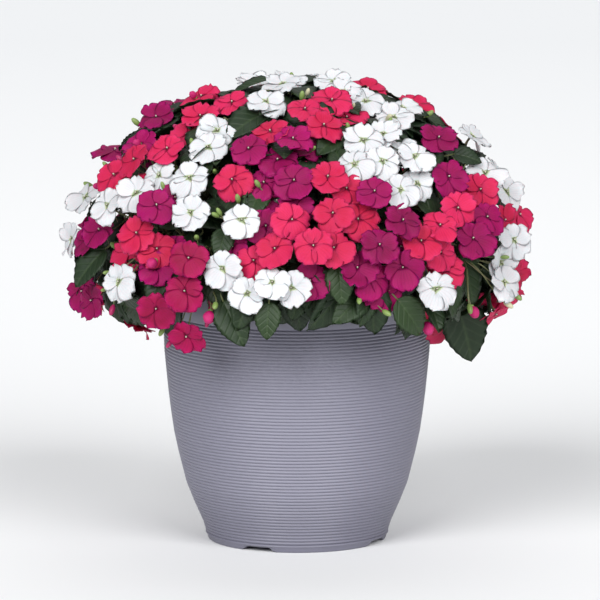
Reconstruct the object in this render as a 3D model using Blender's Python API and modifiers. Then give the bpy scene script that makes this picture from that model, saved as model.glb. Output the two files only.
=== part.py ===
"""Busy lizzie plants in a ribbed resin pot, modelled at their real size (metres, +Z up).

The pot stands on z = 0 around the Z axis, and its front is -Y. The blooms seen from the front are
placed from a distant camera's picture of them, and the rest of the dome follows a seeded rule.
"""
import math
import random

import bmesh
import bpy
from mathutils import Matrix, Vector
from mathutils.bvhtree import BVHTree

# Pot, in metres: radius and height of its outer side, from the foot up
GAP = 0.0003
POT_SIDES = 30
POT_OUTLINE = ((0.1062, 0.0), (0.1087, 0.0085), (0.1122, 0.0206), (0.123, 0.045), (0.1325, 0.069),
               (0.1415, 0.105), (0.1469, 0.130), (0.1504, 0.154), (0.1534, 0.178), (0.1558, 0.202),
               (0.1582, 0.227), (0.1600, 0.276))
FOOT_TOP = 0.0095
RIB_TOP = 0.276
RIB_COUNT = 14
RIB_DEPTH = 0.0011
BAND_RADIUS = 0.1612
BAND_TOP = 0.323
LIP_RADIUS = 0.1597
POT_HEIGHT = 0.345
POT_WALL = 0.0065
FLOOR_THICKNESS = 0.010
NOTCH_HEIGHT = 0.0055
NOTCH_FIRST = math.radians(-116)
NOTCH_HALF = math.radians(11)

# Soil and the plants' stems
SOIL_TOP = 0.300
SOIL_SIDES = 24
HOLE_DEPTH = 0.030
STEM_RADIUS = 0.0055
STEM_SIDES = 6
PLANTS_PER_COLOUR = 4
PLANT_RINGS = {"white": 0.055, "coral": 0.082, "magenta": 0.104}
PLANT_TURNS = {"white": 12, "coral": 42, "magenta": 72}
FORK_HEIGHT = 0.378
BRANCH_RADIUS = 0.0032
BRANCH_SIDES = 3
HUB_RADIUS = 0.0034
HUB_LENGTH = 0.010
HUB_SIDES = 5
HUB_DEPTH = 0.056

# The dome of blooms: an ellipsoid in two halves
DOME_RADIUS = 0.277
DOME_MIDDLE = 0.335
DOME_UP = 0.224
DOME_DOWN = 0.118
BLOOM_RADIUS = 0.0218
BLOOM_THICK = 0.0050
STALK_RADIUS = 0.0014
STALK_PARTS = 2
STALK_SHIFT = 0.0012
STALK_BEND = 0.45
BACK_BLOOM_GAP = 0.053
SPRAY_SWAY = 0.009
BLOOM_LEAN = 0.36
FRONT_LEAN = 0.60
BACK_SIZE = 0.965
BACK_SPRAYS = 16
BACK_COLOURS = ("white", "coral", "magenta")

# Leaves
LEAF_THICK = 0.0018
PETIOLE_RADIUS = 0.0013
PETIOLE_PARTS = 2
LARGE_LEAF = 44
LEAF_REACH = 0.135
LEAF_LEAN = 0.9
LEAF_WIDTH = 0.33
BACK_LEAVES = 26
SEED = 29

# The view that the front blooms are placed from: picture steps across and down from the top left
VIEW_TARGET = Vector((0.0036, 0.0, 0.287))
VIEW_ELEVATION = math.radians(9.1)
VIEW_DISTANCE = 9.0
VIEW_STEP = 0.001194
VIEW_MIDDLE = 300
VIEW_TOWARD = Vector((0, -math.cos(VIEW_ELEVATION), math.sin(VIEW_ELEVATION)))

# Each front spray's colour and its blooms' places in that view, read by eye
FRONT_SPRAYS = (
    ("white", ((266, 100), (283, 82))),
    ("white", ((187, 174), (156, 172), (206, 143), (216, 126))),
    ("white", ((110, 206), (138, 194), (192, 213), (121, 281))),
    ("white", ((241, 218), (221, 268), (247, 293), (291, 288), (272, 281))),
    ("white", ((367, 96), (344, 86), (405, 103), (395, 112))),
    ("white", ((363, 140), (383, 133), (405, 123), (354, 164))),
    ("white", ((381, 163), (402, 147), (413, 158), (421, 178), (399, 191))),
    ("white", ((473, 135), (484, 173), (506, 192))),
    ("white", ((510, 240), (508, 262), (503, 281), (434, 288))),
    ("coral", ((231, 98), (199, 112), (181, 124), (200, 92))),
    ("coral", ((168, 149), (135, 160), (146, 170), (115, 175))),
    ("coral", ((231, 177), (292, 218), (274, 247), (251, 259))),
    ("coral", ((138, 233), (113, 247), (151, 247))),
    ("coral", ((305, 108), (332, 99), (324, 124), (349, 106), (270, 130))),
    ("coral", ((328, 175), (348, 184), (333, 212), (360, 216))),
    ("coral", ((313, 246), (334, 247))),
    ("coral", ((441, 224), (459, 207), (445, 251), (422, 240), (453, 268))),
    ("coral", ((482, 188), (524, 213), (528, 237), (507, 219))),
    ("coral", ((503, 316), (522, 320), (530, 303), (535, 288), (466, 353), (484, 352))),
    ("magenta", ((138, 141), (130, 148), (96, 228), (84, 238))),
    ("magenta", ((78, 293), (90, 301))),
    ("magenta", ((150, 267), (164, 248), (160, 206), (170, 192))),
    ("magenta", ((191, 258), (187, 290), (159, 306), (188, 332), (218, 318))),
    ("magenta", ((293, 140), (277, 155), (249, 150), (304, 135))),
    ("magenta", ((294, 178), (262, 175), (296, 200), (275, 190))),
    ("magenta", ((264, 221), (239, 236))),
    ("magenta", ((401, 221), (407, 244), (378, 245), (373, 193))),
    ("magenta", ((359, 267), (404, 267), (375, 278), (388, 292), (311, 281))),
    ("magenta", ((438, 138), (448, 177), (486, 217), (472, 238))),
)

# Places and lengths (in picture steps) of the leaves that show between the front blooms
FRONT_LEAVES = (
    (88, 267, 46), (470, 334, 60), (233, 324, 46), (268, 320, 34), (411, 318, 44), (486, 265, 38),
    (342, 284, 38), (170, 268, 34), (153, 290, 34), (193, 142, 34), (232, 122, 34), (174, 236, 34),
    (214, 240, 34), (252, 200, 36), (216, 205, 34), (104, 309, 34), (220, 293, 34), (378, 313, 38),
    (445, 340, 36), (470, 156, 34), (422, 119, 34), (497, 205, 34), (342, 156, 34), (357, 242, 34),
    (384, 209, 34), (140, 318, 38), (500, 340, 38), (310, 84, 34), (430, 200, 34), (300, 262, 34),
    (425, 268, 34), (100, 190, 34), (320, 150, 34),
)

COLOURS = {
    "pot": ((0.29, 0.285, 0.36), 0.42),
    "soil": ((0.045, 0.030, 0.020), 0.95),
    "leaf": ((0.035, 0.075, 0.028), 0.50),
    "white": ((0.86, 0.82, 0.84), 0.60),
    "coral": ((0.80, 0.035, 0.085), 0.60),
    "magenta": ((0.46, 0.004, 0.16), 0.60),
}


def dome_level(point):
    """Below 1 inside the dome, 1 on it."""
    tall = DOME_UP if point.z > DOME_MIDDLE else DOME_DOWN
    flat = (point.x ** 2 + point.y ** 2) / DOME_RADIUS ** 2
    return flat + ((point.z - DOME_MIDDLE) / tall) ** 2


def dome_normal(point):
    tall = DOME_UP if point.z > DOME_MIDDLE else DOME_DOWN
    return Vector((point.x / DOME_RADIUS ** 2, point.y / DOME_RADIUS ** 2,
                   (point.z - DOME_MIDDLE) / tall ** 2)).normalized()


def seen_at(across, down):
    """The point of the dome that the front view shows at a picture place."""
    away = Vector((0, math.cos(VIEW_ELEVATION), -math.sin(VIEW_ELEVATION)))
    rise = Vector((0, math.sin(VIEW_ELEVATION), math.cos(VIEW_ELEVATION)))
    eye = VIEW_TARGET - away * VIEW_DISTANCE
    aim = VIEW_TARGET + Vector((1, 0, 0)) * (across - VIEW_MIDDLE) * VIEW_STEP
    aim += rise * (VIEW_MIDDLE - down) * VIEW_STEP
    ray = (aim - eye).normalized()
    best, level = None, None
    for step in range(320):
        point = eye + ray * (VIEW_DISTANCE - 0.40 + step * 0.0025)
        here = dome_level(point)
        if here <= 1:
            return point
        if level is None or here < level:
            best, level = point, here
    middle = Vector((0, 0, DOME_MIDDLE))
    return middle + (best - middle) / math.sqrt(level)


def ring_about(middle, side, rise, radius, count, turn=0.0):
    """Points of a regular ring."""
    points = []
    for index in range(count):
        angle = turn + math.tau * index / count
        points.append(middle + side * math.cos(angle) * radius + rise * math.sin(angle) * radius)
    return points


def bridge(faces, low, high):
    """Triangles between two closed rows of corners that may have unlike counts."""
    first = second = 0
    while first < len(low) or second < len(high):
        if len(high) == 1 and first == len(low):
            break
        take_low = second == len(high) or len(high) == 1
        if not take_low and first < len(low):
            take_low = (first + 0.5) / len(low) <= (second + 0.5) / len(high)
        if take_low:
            faces.append((low[first % len(low)], low[(first + 1) % len(low)],
                          high[second % len(high)]))
            first += 1
        else:
            faces.append((low[first % len(low)], high[(second + 1) % len(high)],
                          high[second % len(high)]))
            second += 1


def loft(rings):
    """Corners and faces of a closed solid through the rings, the last of which may be one point."""
    verts, rows, faces = [], [], []
    for ring in rings:
        rows.append(list(range(len(verts), len(verts) + len(ring))))
        verts.extend(ring)
    faces.append(tuple(reversed(rows[0])))
    for low, high in zip(rows, rows[1:]):
        bridge(faces, low, high)
    if len(rows[-1]) > 1:
        faces.append(tuple(rows[-1]))
    return verts, faces


def carried(path, side, first=0):
    """For each point of a path: its direction and a side direction carried along without twist."""
    frames = []
    for index in range(len(path)):
        ahead = path[min(index + 1, len(path) - 1)] - path[max(index - 1, 0)]
        ahead.normalize()
        side = (side - ahead * side.dot(ahead)).normalized()
        frames.append((ahead.copy(), side.copy()))
    return frames[first:]


def tube(path, radii, sides, side, backward=False):
    """Rings of a tube along a path, or from its far end where the side direction is known there."""
    if backward:
        path, radii = path[::-1], radii[::-1]
    rings = []
    for point, radius, (ahead, across) in zip(path, radii, carried(path, side)):
        ahead = -ahead if backward else ahead
        rings.append(ring_about(point, across, ahead.cross(across), radius, sides))
    return rings[::-1] if backward else rings


def curve(start, out, arrive, end, count):
    """Points of a cubic curve that leaves start by out and comes to end from arrive."""
    points = []
    for index in range(count + 1):
        t = index / count
        s = 1 - t
        points.append(start * s ** 3 + out * 3 * s * s * t + arrive * 3 * s * t * t + end * t ** 3)
    return points


class Space:
    """The room that placed pieces take up."""

    def __init__(self):
        self.items = []

    def add(self, solid, kind, owner, who):
        verts, faces = solid
        middle = sum(verts, Vector()) / len(verts)
        reach = max((vert - middle).length for vert in verts)
        tree = BVHTree.FromPolygons(verts, faces)
        self.items.append((tree, middle, reach, kind, owner, who))

    def clear(self, solid, ignore):
        verts, faces = solid
        middle = sum(verts, Vector()) / len(verts)
        reach = max((vert - middle).length for vert in verts)
        tree = None
        for other, centre, size, kind, owner, who in self.items:
            if (centre - middle).length > reach + size or ignore(kind, owner, who):
                continue
            tree = tree or BVHTree.FromPolygons(verts, faces)
            if tree.overlap(other):
                return False
        return True


def bloom_frame(axis, roll):
    """Side and rise directions of a bloom that faces along axis."""
    side = axis.cross(Vector((0, 0, 1)))
    if side.length < 0.05:
        side = axis.cross(Vector((0, 1, 0)))
    side.normalize()
    return Matrix.Rotation(roll, 3, axis) @ side


def bloom_rings(middle, axis, side, radius, swell=0.0):
    """Neck, waved rim and sunken middle of a bloom with five broad petals."""
    rise = axis.cross(side)
    wide = radius + swell
    neck = ring_about(middle - axis * (BLOOM_THICK + swell), side, rise, STALK_RADIUS + swell, 3)
    rim = []
    for petal in range(5):
        for turn, reach, lift in ((0, 0.74, -0.05), (20, 1.0, 0.05), (52, 1.0, -0.02)):
            angle = math.radians(petal * 72 + turn)
            rim.append(middle + side * math.cos(angle) * wide * reach
                       + rise * math.sin(angle) * wide * reach + axis * radius * lift)
    return [neck, rim, [middle - axis * (0.0012 - swell)]]


def stalk_rings(hub, bloom, swell=0.0):
    """Rings of a bloom's stalk, from its hub to just behind the bloom."""
    middle, axis, side = bloom["middle"], bloom["axis"], bloom["side"]
    end = middle - axis * BLOOM_THICK
    root = hub["root"] + bloom["shift"]
    span = (end - root).length
    path = curve(root, root + hub["axis"] * span * 0.35, end - axis * span * 0.38, end,
                 STALK_PARTS)
    return tube(path, [STALK_RADIUS + swell] * (STALK_PARTS + 1), 3, side, backward=True)


def bloom_solids(hub, bloom, swell=0.0):
    """A bloom's disc and its stalk as two solids, for testing the room they need."""
    disc = loft(bloom_rings(bloom["middle"], bloom["axis"], bloom["side"], bloom["radius"], swell))
    stalk = loft(stalk_rings(hub, bloom, swell))
    return disc, stalk


def hub_for(places):
    """Where a spray's stalks meet, inside the dome behind its blooms."""
    middle = sum((place for place in places), Vector()) / len(places)
    normal = sum((dome_normal(place) for place in places), Vector()).normalized()
    point = middle - normal * HUB_DEPTH
    flat = Vector((point.x, point.y, 0))
    wide = flat.length
    if point.z < 0.39:
        wide = min(max(wide, 0.192), 0.214)
        flat = flat.normalized() * wide
        point.z = max(point.z, 0.378 - (wide - 0.192) * 1.1)
        point = Vector((flat.x, flat.y, point.z))
    axis = (middle - point).normalized()
    if point.z < 0.42:
        axis = (axis + Vector((0, 0, 0.45)) + flat.normalized() * 0.3).normalized()
    return {"base": point, "axis": axis, "root": point + axis * HUB_LENGTH * 0.6}


def place_bloom(space, hub, spray, index, place, chance):
    """Seat one bloom near its place on the dome, clear of everything set before."""
    normal = dome_normal(place)
    front = FRONT_LEAN * min(1.0, max(0.0, 0.8 + 2.0 * normal.dot(VIEW_TOWARD)))
    facing = normal + Vector((0, 0, 0.22)) + VIEW_TOWARD * front
    hard = random.Random(chance.random())
    shift = Vector([hard.uniform(-1, 1) for _ in range(3)]) * STALK_SHIFT
    for attempt in range(60):
        lean = Vector((hard.uniform(-1, 1), hard.uniform(-1, 1), hard.uniform(-1, 1)))
        axis = (facing + lean * (BLOOM_LEAN + 0.005 * attempt)).normalized()
        depth = 0.0035 * (attempt % 12) - 0.003
        slip = Vector((hard.uniform(-1, 1), hard.uniform(-1, 1), hard.uniform(-1, 1)))
        middle = place - normal * depth + slip * 0.0035 * (attempt // 12)
        radius = BLOOM_RADIUS * hard.uniform(0.93, 1.05) * (1 - 0.003 * attempt)
        side = bloom_frame(axis, hard.uniform(-0.5, 0.5))
        bloom = {"middle": middle, "axis": axis, "side": side, "radius": radius, "spray": spray,
                 "shift": shift}
        reach = (middle - hub["root"]).normalized()
        if reach.dot(axis) < STALK_BEND:
            continue
        disc, stalk = bloom_solids(hub, bloom, 0.0007)
        me = (spray, index)
        if not space.clear(disc, lambda kind, owner, who: False):
            continue
        if not space.clear(stalk, lambda kind, owner, who: kind in ("stalk", "hub")
                           and owner == spray):
            continue
        disc, stalk = bloom_solids(hub, bloom)
        space.add(disc, "disc", spray, me)
        space.add(stalk, "stalk", spray, me)
        return bloom
    return None


def back_places(front, chance):
    """Seeded places on the rest of the dome, each a bloom's width from the others."""
    taken = list(front)
    places = []
    for attempt in range(9000):
        turn = chance.uniform(0, math.tau)
        rise = chance.uniform(-0.93, 1.0)
        wide = math.sqrt(1 - rise * rise) * DOME_RADIUS * BACK_SIZE
        tall = (DOME_UP if rise > 0 else DOME_DOWN) * BACK_SIZE
        if rise < 0 and chance.random() > 0.6:
            continue
        point = Vector((wide * math.cos(turn), wide * math.sin(turn), DOME_MIDDLE + rise * tall))
        if point.z < (0.285 if point.y < 0 else 0.255):
            continue
        if point.y < 0 and seen_at_back(point) < 0:
            continue
        if all((point - other).length > BACK_BLOOM_GAP for other in taken):
            taken.append(point)
            places.append(point)
    return places


def seen_at_back(point):
    """Negative where a place of the dome faces the front view and so is already filled."""
    normal = dome_normal(point)
    return 0.12 - normal.dot(VIEW_TOWARD)


def group_back(places):
    """Share the back places out among evenly spread sprays, neighbours unlike in colour."""
    seeds = [max(places, key=lambda place: place.y)]
    while len(seeds) < BACK_SPRAYS:
        seeds.append(max(places, key=lambda place: min((place - seed).length for seed in seeds)))
    for _ in range(6):
        groups = [[] for _ in seeds]
        for place in places:
            near = min(range(len(seeds)), key=lambda index: (place - seeds[index]).length)
            groups[near].append(place)
        seeds = [sum(group, Vector()) / len(group) for group in groups]
    order = sorted(range(len(seeds)), key=lambda index: math.atan2(seeds[index].x, seeds[index].y))
    sprays, counts = [], {colour: 0 for colour in BACK_COLOURS}
    placed = []
    for index in order:
        near = sorted(placed, key=lambda item: (item[0] - seeds[index]).length)[:2]
        beside = [item[1] for item in near]
        choice = min(BACK_COLOURS, key=lambda colour: (beside.count(colour), counts[colour]))
        counts[choice] += 1
        placed.append((seeds[index], choice))
        sprays.append((choice, groups[index]))
    return sprays


def pot_room():
    """The room the pot and the soil take up, in a plain form."""
    up, side = Vector((0, 1, 0)), Vector((1, 0, 0))
    outer = [ring_about(Vector((0, 0, height)), side, up, radius + 0.004, 24)
             for radius, height in ((0.11, 0.0), (0.155, 0.18), (0.163, 0.27), (0.163, 0.348))]
    inner = [ring_about(Vector((0, 0, height)), side, up, radius, 24)
             for radius, height in ((0.149, 0.348), (0.149, 0.309))]
    return loft(outer + inner)


def branch_solid(path, radii, axis, swell=0.0):
    """A branch whose far end is cut square to axis."""
    side = Vector((0.3, 0.8, 0.5))
    rings = tube(path, [radius + swell for radius in radii], BRANCH_SIDES, side)
    across = carried(path, side)[-1][1]
    across = (across - axis * across.dot(axis)).normalized()
    rings[-1] = ring_about(path[-1], across, axis.cross(across), radii[-1] + swell, BRANCH_SIDES)
    return loft(rings)


def plan_branch(space, plant, spray, hub, chance):
    """A branch from the plant's fork to just short of the spray's hub, clear of the rest."""
    end = hub["base"] - hub["axis"] * GAP
    for attempt in range(120):
        start = plant["fork"] + Vector((0, 0, 1)) * chance.uniform(-0.012, 0.03)
        start = plant["axis_at"](start.z)
        loose = 0.2 + attempt / 60
        slip = Vector((chance.uniform(-1, 1), chance.uniform(-1, 1), chance.uniform(-0.5, 1)))
        outward = (end - start).normalized()
        span = (end - start).length
        out = start + (outward + Vector((0, 0, 1.0))).normalized() * span * 0.35
        out += slip * 0.02 * loose
        arrive = end - hub["axis"] * span * chance.uniform(0.25, 0.45)
        path = curve(start, out, arrive, end, 3)
        radii = [BRANCH_RADIUS + 0.0006, BRANCH_RADIUS + 0.0004, BRANCH_RADIUS, BRANCH_RADIUS]
        short = path[:-1] + [path[-1] - hub["axis"] * 0.0018]
        solid = branch_solid(short, radii, hub["axis"], 0.0006)

        def ignore(kind, owner, who):
            return owner == plant["name"]
        if space.clear(solid, ignore):
            space.add(branch_solid(path, radii, hub["axis"]), "branch", plant["name"], spray)
            return {"path": path, "radii": radii, "axis": hub["axis"], "plant": plant["name"],
                    "spray": spray}
    return None


def plan_plants():
    """Feet, forks and slanting stems of the twelve plants."""
    plants = []
    for colour in BACK_COLOURS:
        for index in range(PLANTS_PER_COLOUR):
            turn = math.radians(PLANT_TURNS[colour] + 90 * index)
            ring = PLANT_RINGS[colour]
            foot = Vector((ring * math.cos(turn), ring * math.sin(turn), SOIL_TOP))
            lean = Vector((math.cos(turn), math.sin(turn), 0)) * 0.14 + Vector((0, 0, 1))

            def axis_at(height, foot=foot, lean=lean):
                if height < SOIL_TOP + 0.012:
                    return Vector((foot.x, foot.y, height))
                return foot + lean * (height - SOIL_TOP - 0.012) + Vector((0, 0, 0.012))
            plants.append({"name": f"leafy_stem_{len(plants) + 1:02d}", "colour": colour,
                           "turn": turn, "foot": foot, "fork": axis_at(FORK_HEIGHT),
                           "axis_at": axis_at})
    return plants


def stem_solid(plant, swell=0.0):
    """The main stem, from the bottom of its hole in the soil to above the fork."""
    heights = (SOIL_TOP - HOLE_DEPTH + 0.006, SOIL_TOP + 0.012, FORK_HEIGHT - 0.02,
               FORK_HEIGHT + 0.036)
    path = [plant["axis_at"](height) for height in heights]
    radii = [STEM_RADIUS + swell, STEM_RADIUS + swell, STEM_RADIUS - 0.0005 + swell,
             STEM_RADIUS - 0.0013 + swell]
    rings = []
    for point, radius in zip(path, radii):
        rings.append(ring_about(point, Vector((1, 0, 0)), Vector((0, 1, 0)), radius, STEM_SIDES))
    return loft(rings)


def leaf_solid(leaf, swell=0.0):
    """A pointed blade with a shallow fold along its midrib, and its stalk."""
    tip, side, normal = leaf["tip"], leaf["side"], leaf["normal"]
    length, half = leaf["length"], leaf["half"]
    heel = leaf["middle"] - tip * length * 0.5
    root = leaf["root"]
    span = (heel - root).length
    stalk = curve(root, root + (heel - root) * 0.3 + normal * span * 0.12,
                  heel - tip * span * 0.3, heel, PETIOLE_PARTS)
    rings = []
    for (ahead, across), point in zip(carried(stalk[::-1], side), stalk[::-1]):
        rise = across.cross(-ahead)
        thick = PETIOLE_RADIUS + swell
        rings.append([point - across * thick, point + rise * thick, point + across * thick,
                      point - rise * thick])
    rings.reverse()
    for t, wide in ((0.18, 0.78), (0.52, 1.0)):
        middle = heel + tip * t * length + normal * length * 0.22 * (t - t * t * 1.35)
        lift = normal * (half * wide * 0.16)
        reach = half * wide + swell
        thick = LEAF_THICK / 2 + swell
        rings.append([middle - side * reach + lift, middle + normal * thick,
                      middle + side * reach + lift, middle - normal * thick])
    rings.append([heel + tip * (length + swell) - normal * length * 0.08])
    return loft(rings)


def nearest_root(point, branches, plants):
    """The place on a branch that a leaf near point grows from."""
    best = None
    for branch in branches:
        path = branch["path"]
        for index in range(1, len(path) - 1):
            for t in (0.0, 0.33, 0.66):
                spot = path[index].lerp(path[index + 1], t)
                reach = (spot - point).length
                if best is None or reach < best[0]:
                    best = (reach, spot, branch["plant"])
    return best


def plan_leaf(space, place, normal, length, branches, plants, chance, depths):
    """Seat one leaf under the blooms near its place."""
    normal = normal.normalized()
    normal = Vector((normal.x, normal.y, max(normal.z, -0.1))).normalized()
    for attempt in range(80):
        depth = depths[0] + (depths[1] - depths[0]) * (attempt % 8) / 7
        slip = Vector((chance.uniform(-1, 1), chance.uniform(-1, 1), chance.uniform(-1, 1)))
        middle = place - normal * depth + slip * 0.0015 * (attempt / 4)
        reach, root, owner = nearest_root(middle, branches, plants)
        if reach > LEAF_REACH:
            continue
        out = middle - root
        face = (normal + Vector((0, 0, 0.3)) + slip * 0.25).normalized()
        down = Vector((0, 0, -0.5)) + Vector((middle.x, middle.y, 0)).normalized() * 0.6
        tip = out.normalized() * 0.9 + down * 0.8 + slip * 0.6
        tip = tip - face * tip.dot(face)
        if tip.length < 0.2:
            continue
        tip.normalize()
        size = length * (1 - 0.005 * attempt)
        stalk = middle - tip * size * 0.5 - root
        if stalk.length < 0.012 or stalk.normalized().dot(tip) < 0.12:
            continue
        leaf = {"middle": middle, "normal": face, "tip": tip, "side": tip.cross(face),
                "length": size, "half": size * LEAF_WIDTH, "root": root, "plant": owner}
        solid = leaf_solid(leaf, 0.0006)

        def ignore(kind, who_owns, who):
            return kind in ("branch", "stem") and who_owns == owner
        if space.clear(solid, ignore):
            space.add(leaf_solid(leaf), "leaf", owner, None)
            return leaf
    return None


def plan():
    """Every bloom, branch and leaf of the planting, placed clear of one another."""
    chance = random.Random(SEED)
    space = Space()
    space.add(pot_room(), "pot", "pot", None)
    plants = plan_plants()
    for plant in plants:
        space.add(stem_solid(plant), "stem", plant["name"], None)
    sprays = [(colour, [seen_at(*spot) for spot in spots]) for colour, spots in FRONT_SPRAYS]
    front = [place for colour, places in sprays for place in places]
    sprays += group_back(back_places(front, chance))
    counts = {colour: 0 for colour in BACK_COLOURS}
    load = {plant["name"]: 0 for plant in plants}
    hubs, blooms, branches = [], [], []
    for colour, places in sprays:
        counts[colour] += 1
        name = f"{colour}_spray_{counts[colour]:02d}"
        sway = chance.uniform(-0.4, 1.0) * SPRAY_SWAY
        places = [place - dome_normal(place) * sway for place in places]
        hub = hub_for(places)
        hub.update({"name": name, "colour": colour, "places": places})
        hubs.append(hub)
    for hub in hubs:
        space.add(hub_solid(hub), "hub", hub["name"], None)
    for hub in sorted(hubs, key=lambda item: -item["base"].xy.length):
        own = [plant for plant in plants if plant["colour"] == hub["colour"]]
        turn = hub["base"].xy.normalized()
        own.sort(key=lambda plant: load[plant["name"]] * 0.12
                 - turn.dot(plant["foot"].xy.normalized()) * min(1, hub["base"].xy.length / 0.12))
        for plant in own:
            branch = plan_branch(space, plant, hub["name"], hub, chance)
            if branch:
                break
        if not branch:
            print("no room for the branch of", hub["name"])
            continue
        load[plant["name"]] += 1
        branches.append(branch)
    leaves = []
    for across, down, size in sorted(FRONT_LEAVES, key=lambda spot: -spot[2]):
        if size < LARGE_LEAF:
            break
        place = seen_at(across, down)
        leaves.append(plan_leaf(space, place, dome_normal(place) + VIEW_TOWARD * LEAF_LEAN,
                                size * VIEW_STEP * 1.05, branches, plants, chance,
                                (0.004, 0.02)))
    order = [(hub, index) for hub in hubs for index in range(len(hub["places"]))]
    for hub, index in order:
        bloom = place_bloom(space, hub, hub["name"], index, hub["places"][index], chance)
        if bloom:
            blooms.append(bloom)
        else:
            print("no room for a bloom of", hub["name"], index)
    for across, down, size in FRONT_LEAVES:
        if size >= LARGE_LEAF:
            continue
        place = seen_at(across, down)
        leaf = plan_leaf(space, place, dome_normal(place) + VIEW_TOWARD * LEAF_LEAN,
                         size * VIEW_STEP * 1.05, branches, plants, chance, (-0.004, 0.036))
        if leaf:
            leaves.append(leaf)
        else:
            print("no room for the leaf at", across, down)
    tries = 0
    while len(leaves) < len(FRONT_LEAVES) + BACK_LEAVES and tries < 400:
        tries += 1
        turn = chance.uniform(0, math.tau)
        rise = chance.uniform(-0.8, 0.9)
        wide = math.sqrt(1 - rise * rise) * DOME_RADIUS
        tall = DOME_UP if rise > 0 else DOME_DOWN
        place = Vector((wide * math.cos(turn), wide * math.sin(turn), DOME_MIDDLE + rise * tall))
        if place.z < 0.26 or seen_at_back(place) < 0:
            continue
        leaf = plan_leaf(space, place, dome_normal(place), chance.uniform(0.046, 0.062), branches,
                         plants, chance, (0.006, 0.034))
        if leaf:
            leaves.append(leaf)
    return plants, hubs, branches, blooms, leaves


def hub_solid(hub):
    """The short thick stub that a spray's stalks grow from."""
    side = hub["axis"].cross(Vector((0.2, 0.1, 1))).normalized()
    rise = hub["axis"].cross(side)
    return loft([ring_about(hub["base"] + hub["axis"] * t, side, rise, HUB_RADIUS, HUB_SIDES)
                 for t in (0, HUB_LENGTH)])


def material(name):
    colour, rough = COLOURS[name]
    made = bpy.data.materials.new(name)
    made.use_nodes = True
    shader = made.node_tree.nodes["Principled BSDF"]
    shader.inputs["Base Color"].default_value = (*colour, 1)
    shader.inputs["Roughness"].default_value = rough
    shader.inputs["Metallic"].default_value = 0
    return made


def mesh_object(name, solid, collection, look=None):
    """An object from corners and faces, triangulated, with its faces pointing out."""
    verts, faces = solid
    mesh = bpy.data.meshes.new(name)
    mesh.from_pydata([tuple(vert) for vert in verts], [], faces)
    shape = bmesh.new()
    shape.from_mesh(mesh)
    bmesh.ops.recalc_face_normals(shape, faces=shape.faces)
    bmesh.ops.triangulate(shape, faces=shape.faces)
    shape.to_mesh(mesh)
    shape.free()
    item = bpy.data.objects.new(name, mesh)
    collection.objects.link(item)
    if look:
        mesh.materials.append(look)
    return item


def fuse(name, solids, collection, look):
    """One closed body from overlapping solids."""
    base = mesh_object(name, solids[0], collection, look)
    if len(solids) > 1:
        rest = bpy.data.collections.new(name + "_joined")
        bpy.context.scene.collection.children.link(rest)
        for index, solid in enumerate(solids[1:]):
            mesh_object(f"{name}_{index}", solid, rest, look)
        union = base.modifiers.new("union", "BOOLEAN")
        union.operation = "UNION"
        union.operand_type = "COLLECTION"
        union.collection = rest
        union.solver = "EXACT"
        bpy.context.view_layer.update()
        ready = base.evaluated_get(bpy.context.evaluated_depsgraph_get())
        joined = bpy.data.meshes.new_from_object(ready)
        base.modifiers.clear()
        old = base.data
        base.data = joined
        bpy.data.meshes.remove(old)
        for item in list(rest.objects):
            data = item.data
            bpy.data.objects.remove(item)
            bpy.data.meshes.remove(data)
        bpy.data.collections.remove(rest)
    tidy(base.data)
    return base


def tidy(mesh):
    """Close hairline edges that a union leaves, and cut the faces into triangles."""
    shape = bmesh.new()
    shape.from_mesh(mesh)
    bmesh.ops.remove_doubles(shape, verts=shape.verts, dist=0.000004)
    bmesh.ops.dissolve_degenerate(shape, dist=0.000004, edges=shape.edges)
    bmesh.ops.triangulate(shape, faces=shape.faces)
    bmesh.ops.recalc_face_normals(shape, faces=shape.faces)
    shape.to_mesh(mesh)
    shape.free()


def outline_radius(height):
    """Outer radius of the pot's ribbed part at a height."""
    for (low_r, low_z), (high_r, high_z) in zip(POT_OUTLINE, POT_OUTLINE[1:]):
        if height <= high_z:
            return low_r + (high_r - low_r) * (height - low_z) / (high_z - low_z)
    return POT_OUTLINE[-1][0]


def pot_profile():
    """The pot's outline, from the middle of its rim's inside, down the outer side."""
    inside_top = LIP_RADIUS - POT_WALL
    points = [(inside_top, POT_HEIGHT - 0.002), (inside_top + 0.0015, POT_HEIGHT),
              (LIP_RADIUS - 0.0018, POT_HEIGHT), (LIP_RADIUS, POT_HEIGHT - 0.0025),
              (LIP_RADIUS - 0.0002, BAND_TOP + 0.001), (BAND_RADIUS, BAND_TOP - 0.001),
              (BAND_RADIUS - 0.0002, RIB_TOP + 0.001)]
    pitch = (RIB_TOP - FOOT_TOP) / RIB_COUNT
    for rib in range(RIB_COUNT):
        top = RIB_TOP - rib * pitch
        points.append((outline_radius(top) - RIB_DEPTH, top))
        crest = top - pitch * 0.5
        points.append((outline_radius(crest) + RIB_DEPTH * 0.4, crest))
    points.append((outline_radius(FOOT_TOP) - RIB_DEPTH, FOOT_TOP))
    points.append((outline_radius(FOOT_TOP) + 0.0006, FOOT_TOP - 0.0015))
    points.append((POT_OUTLINE[0][0], 0.0))
    points.append((0.0, 0.0))
    inner = [(0.0, FLOOR_THICKNESS)]
    for height in (FLOOR_THICKNESS, 0.045, 0.105, 0.202, 0.31):
        inner.append((outline_radius(height) - POT_WALL - RIB_DEPTH, height))
    return points + inner


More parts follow.
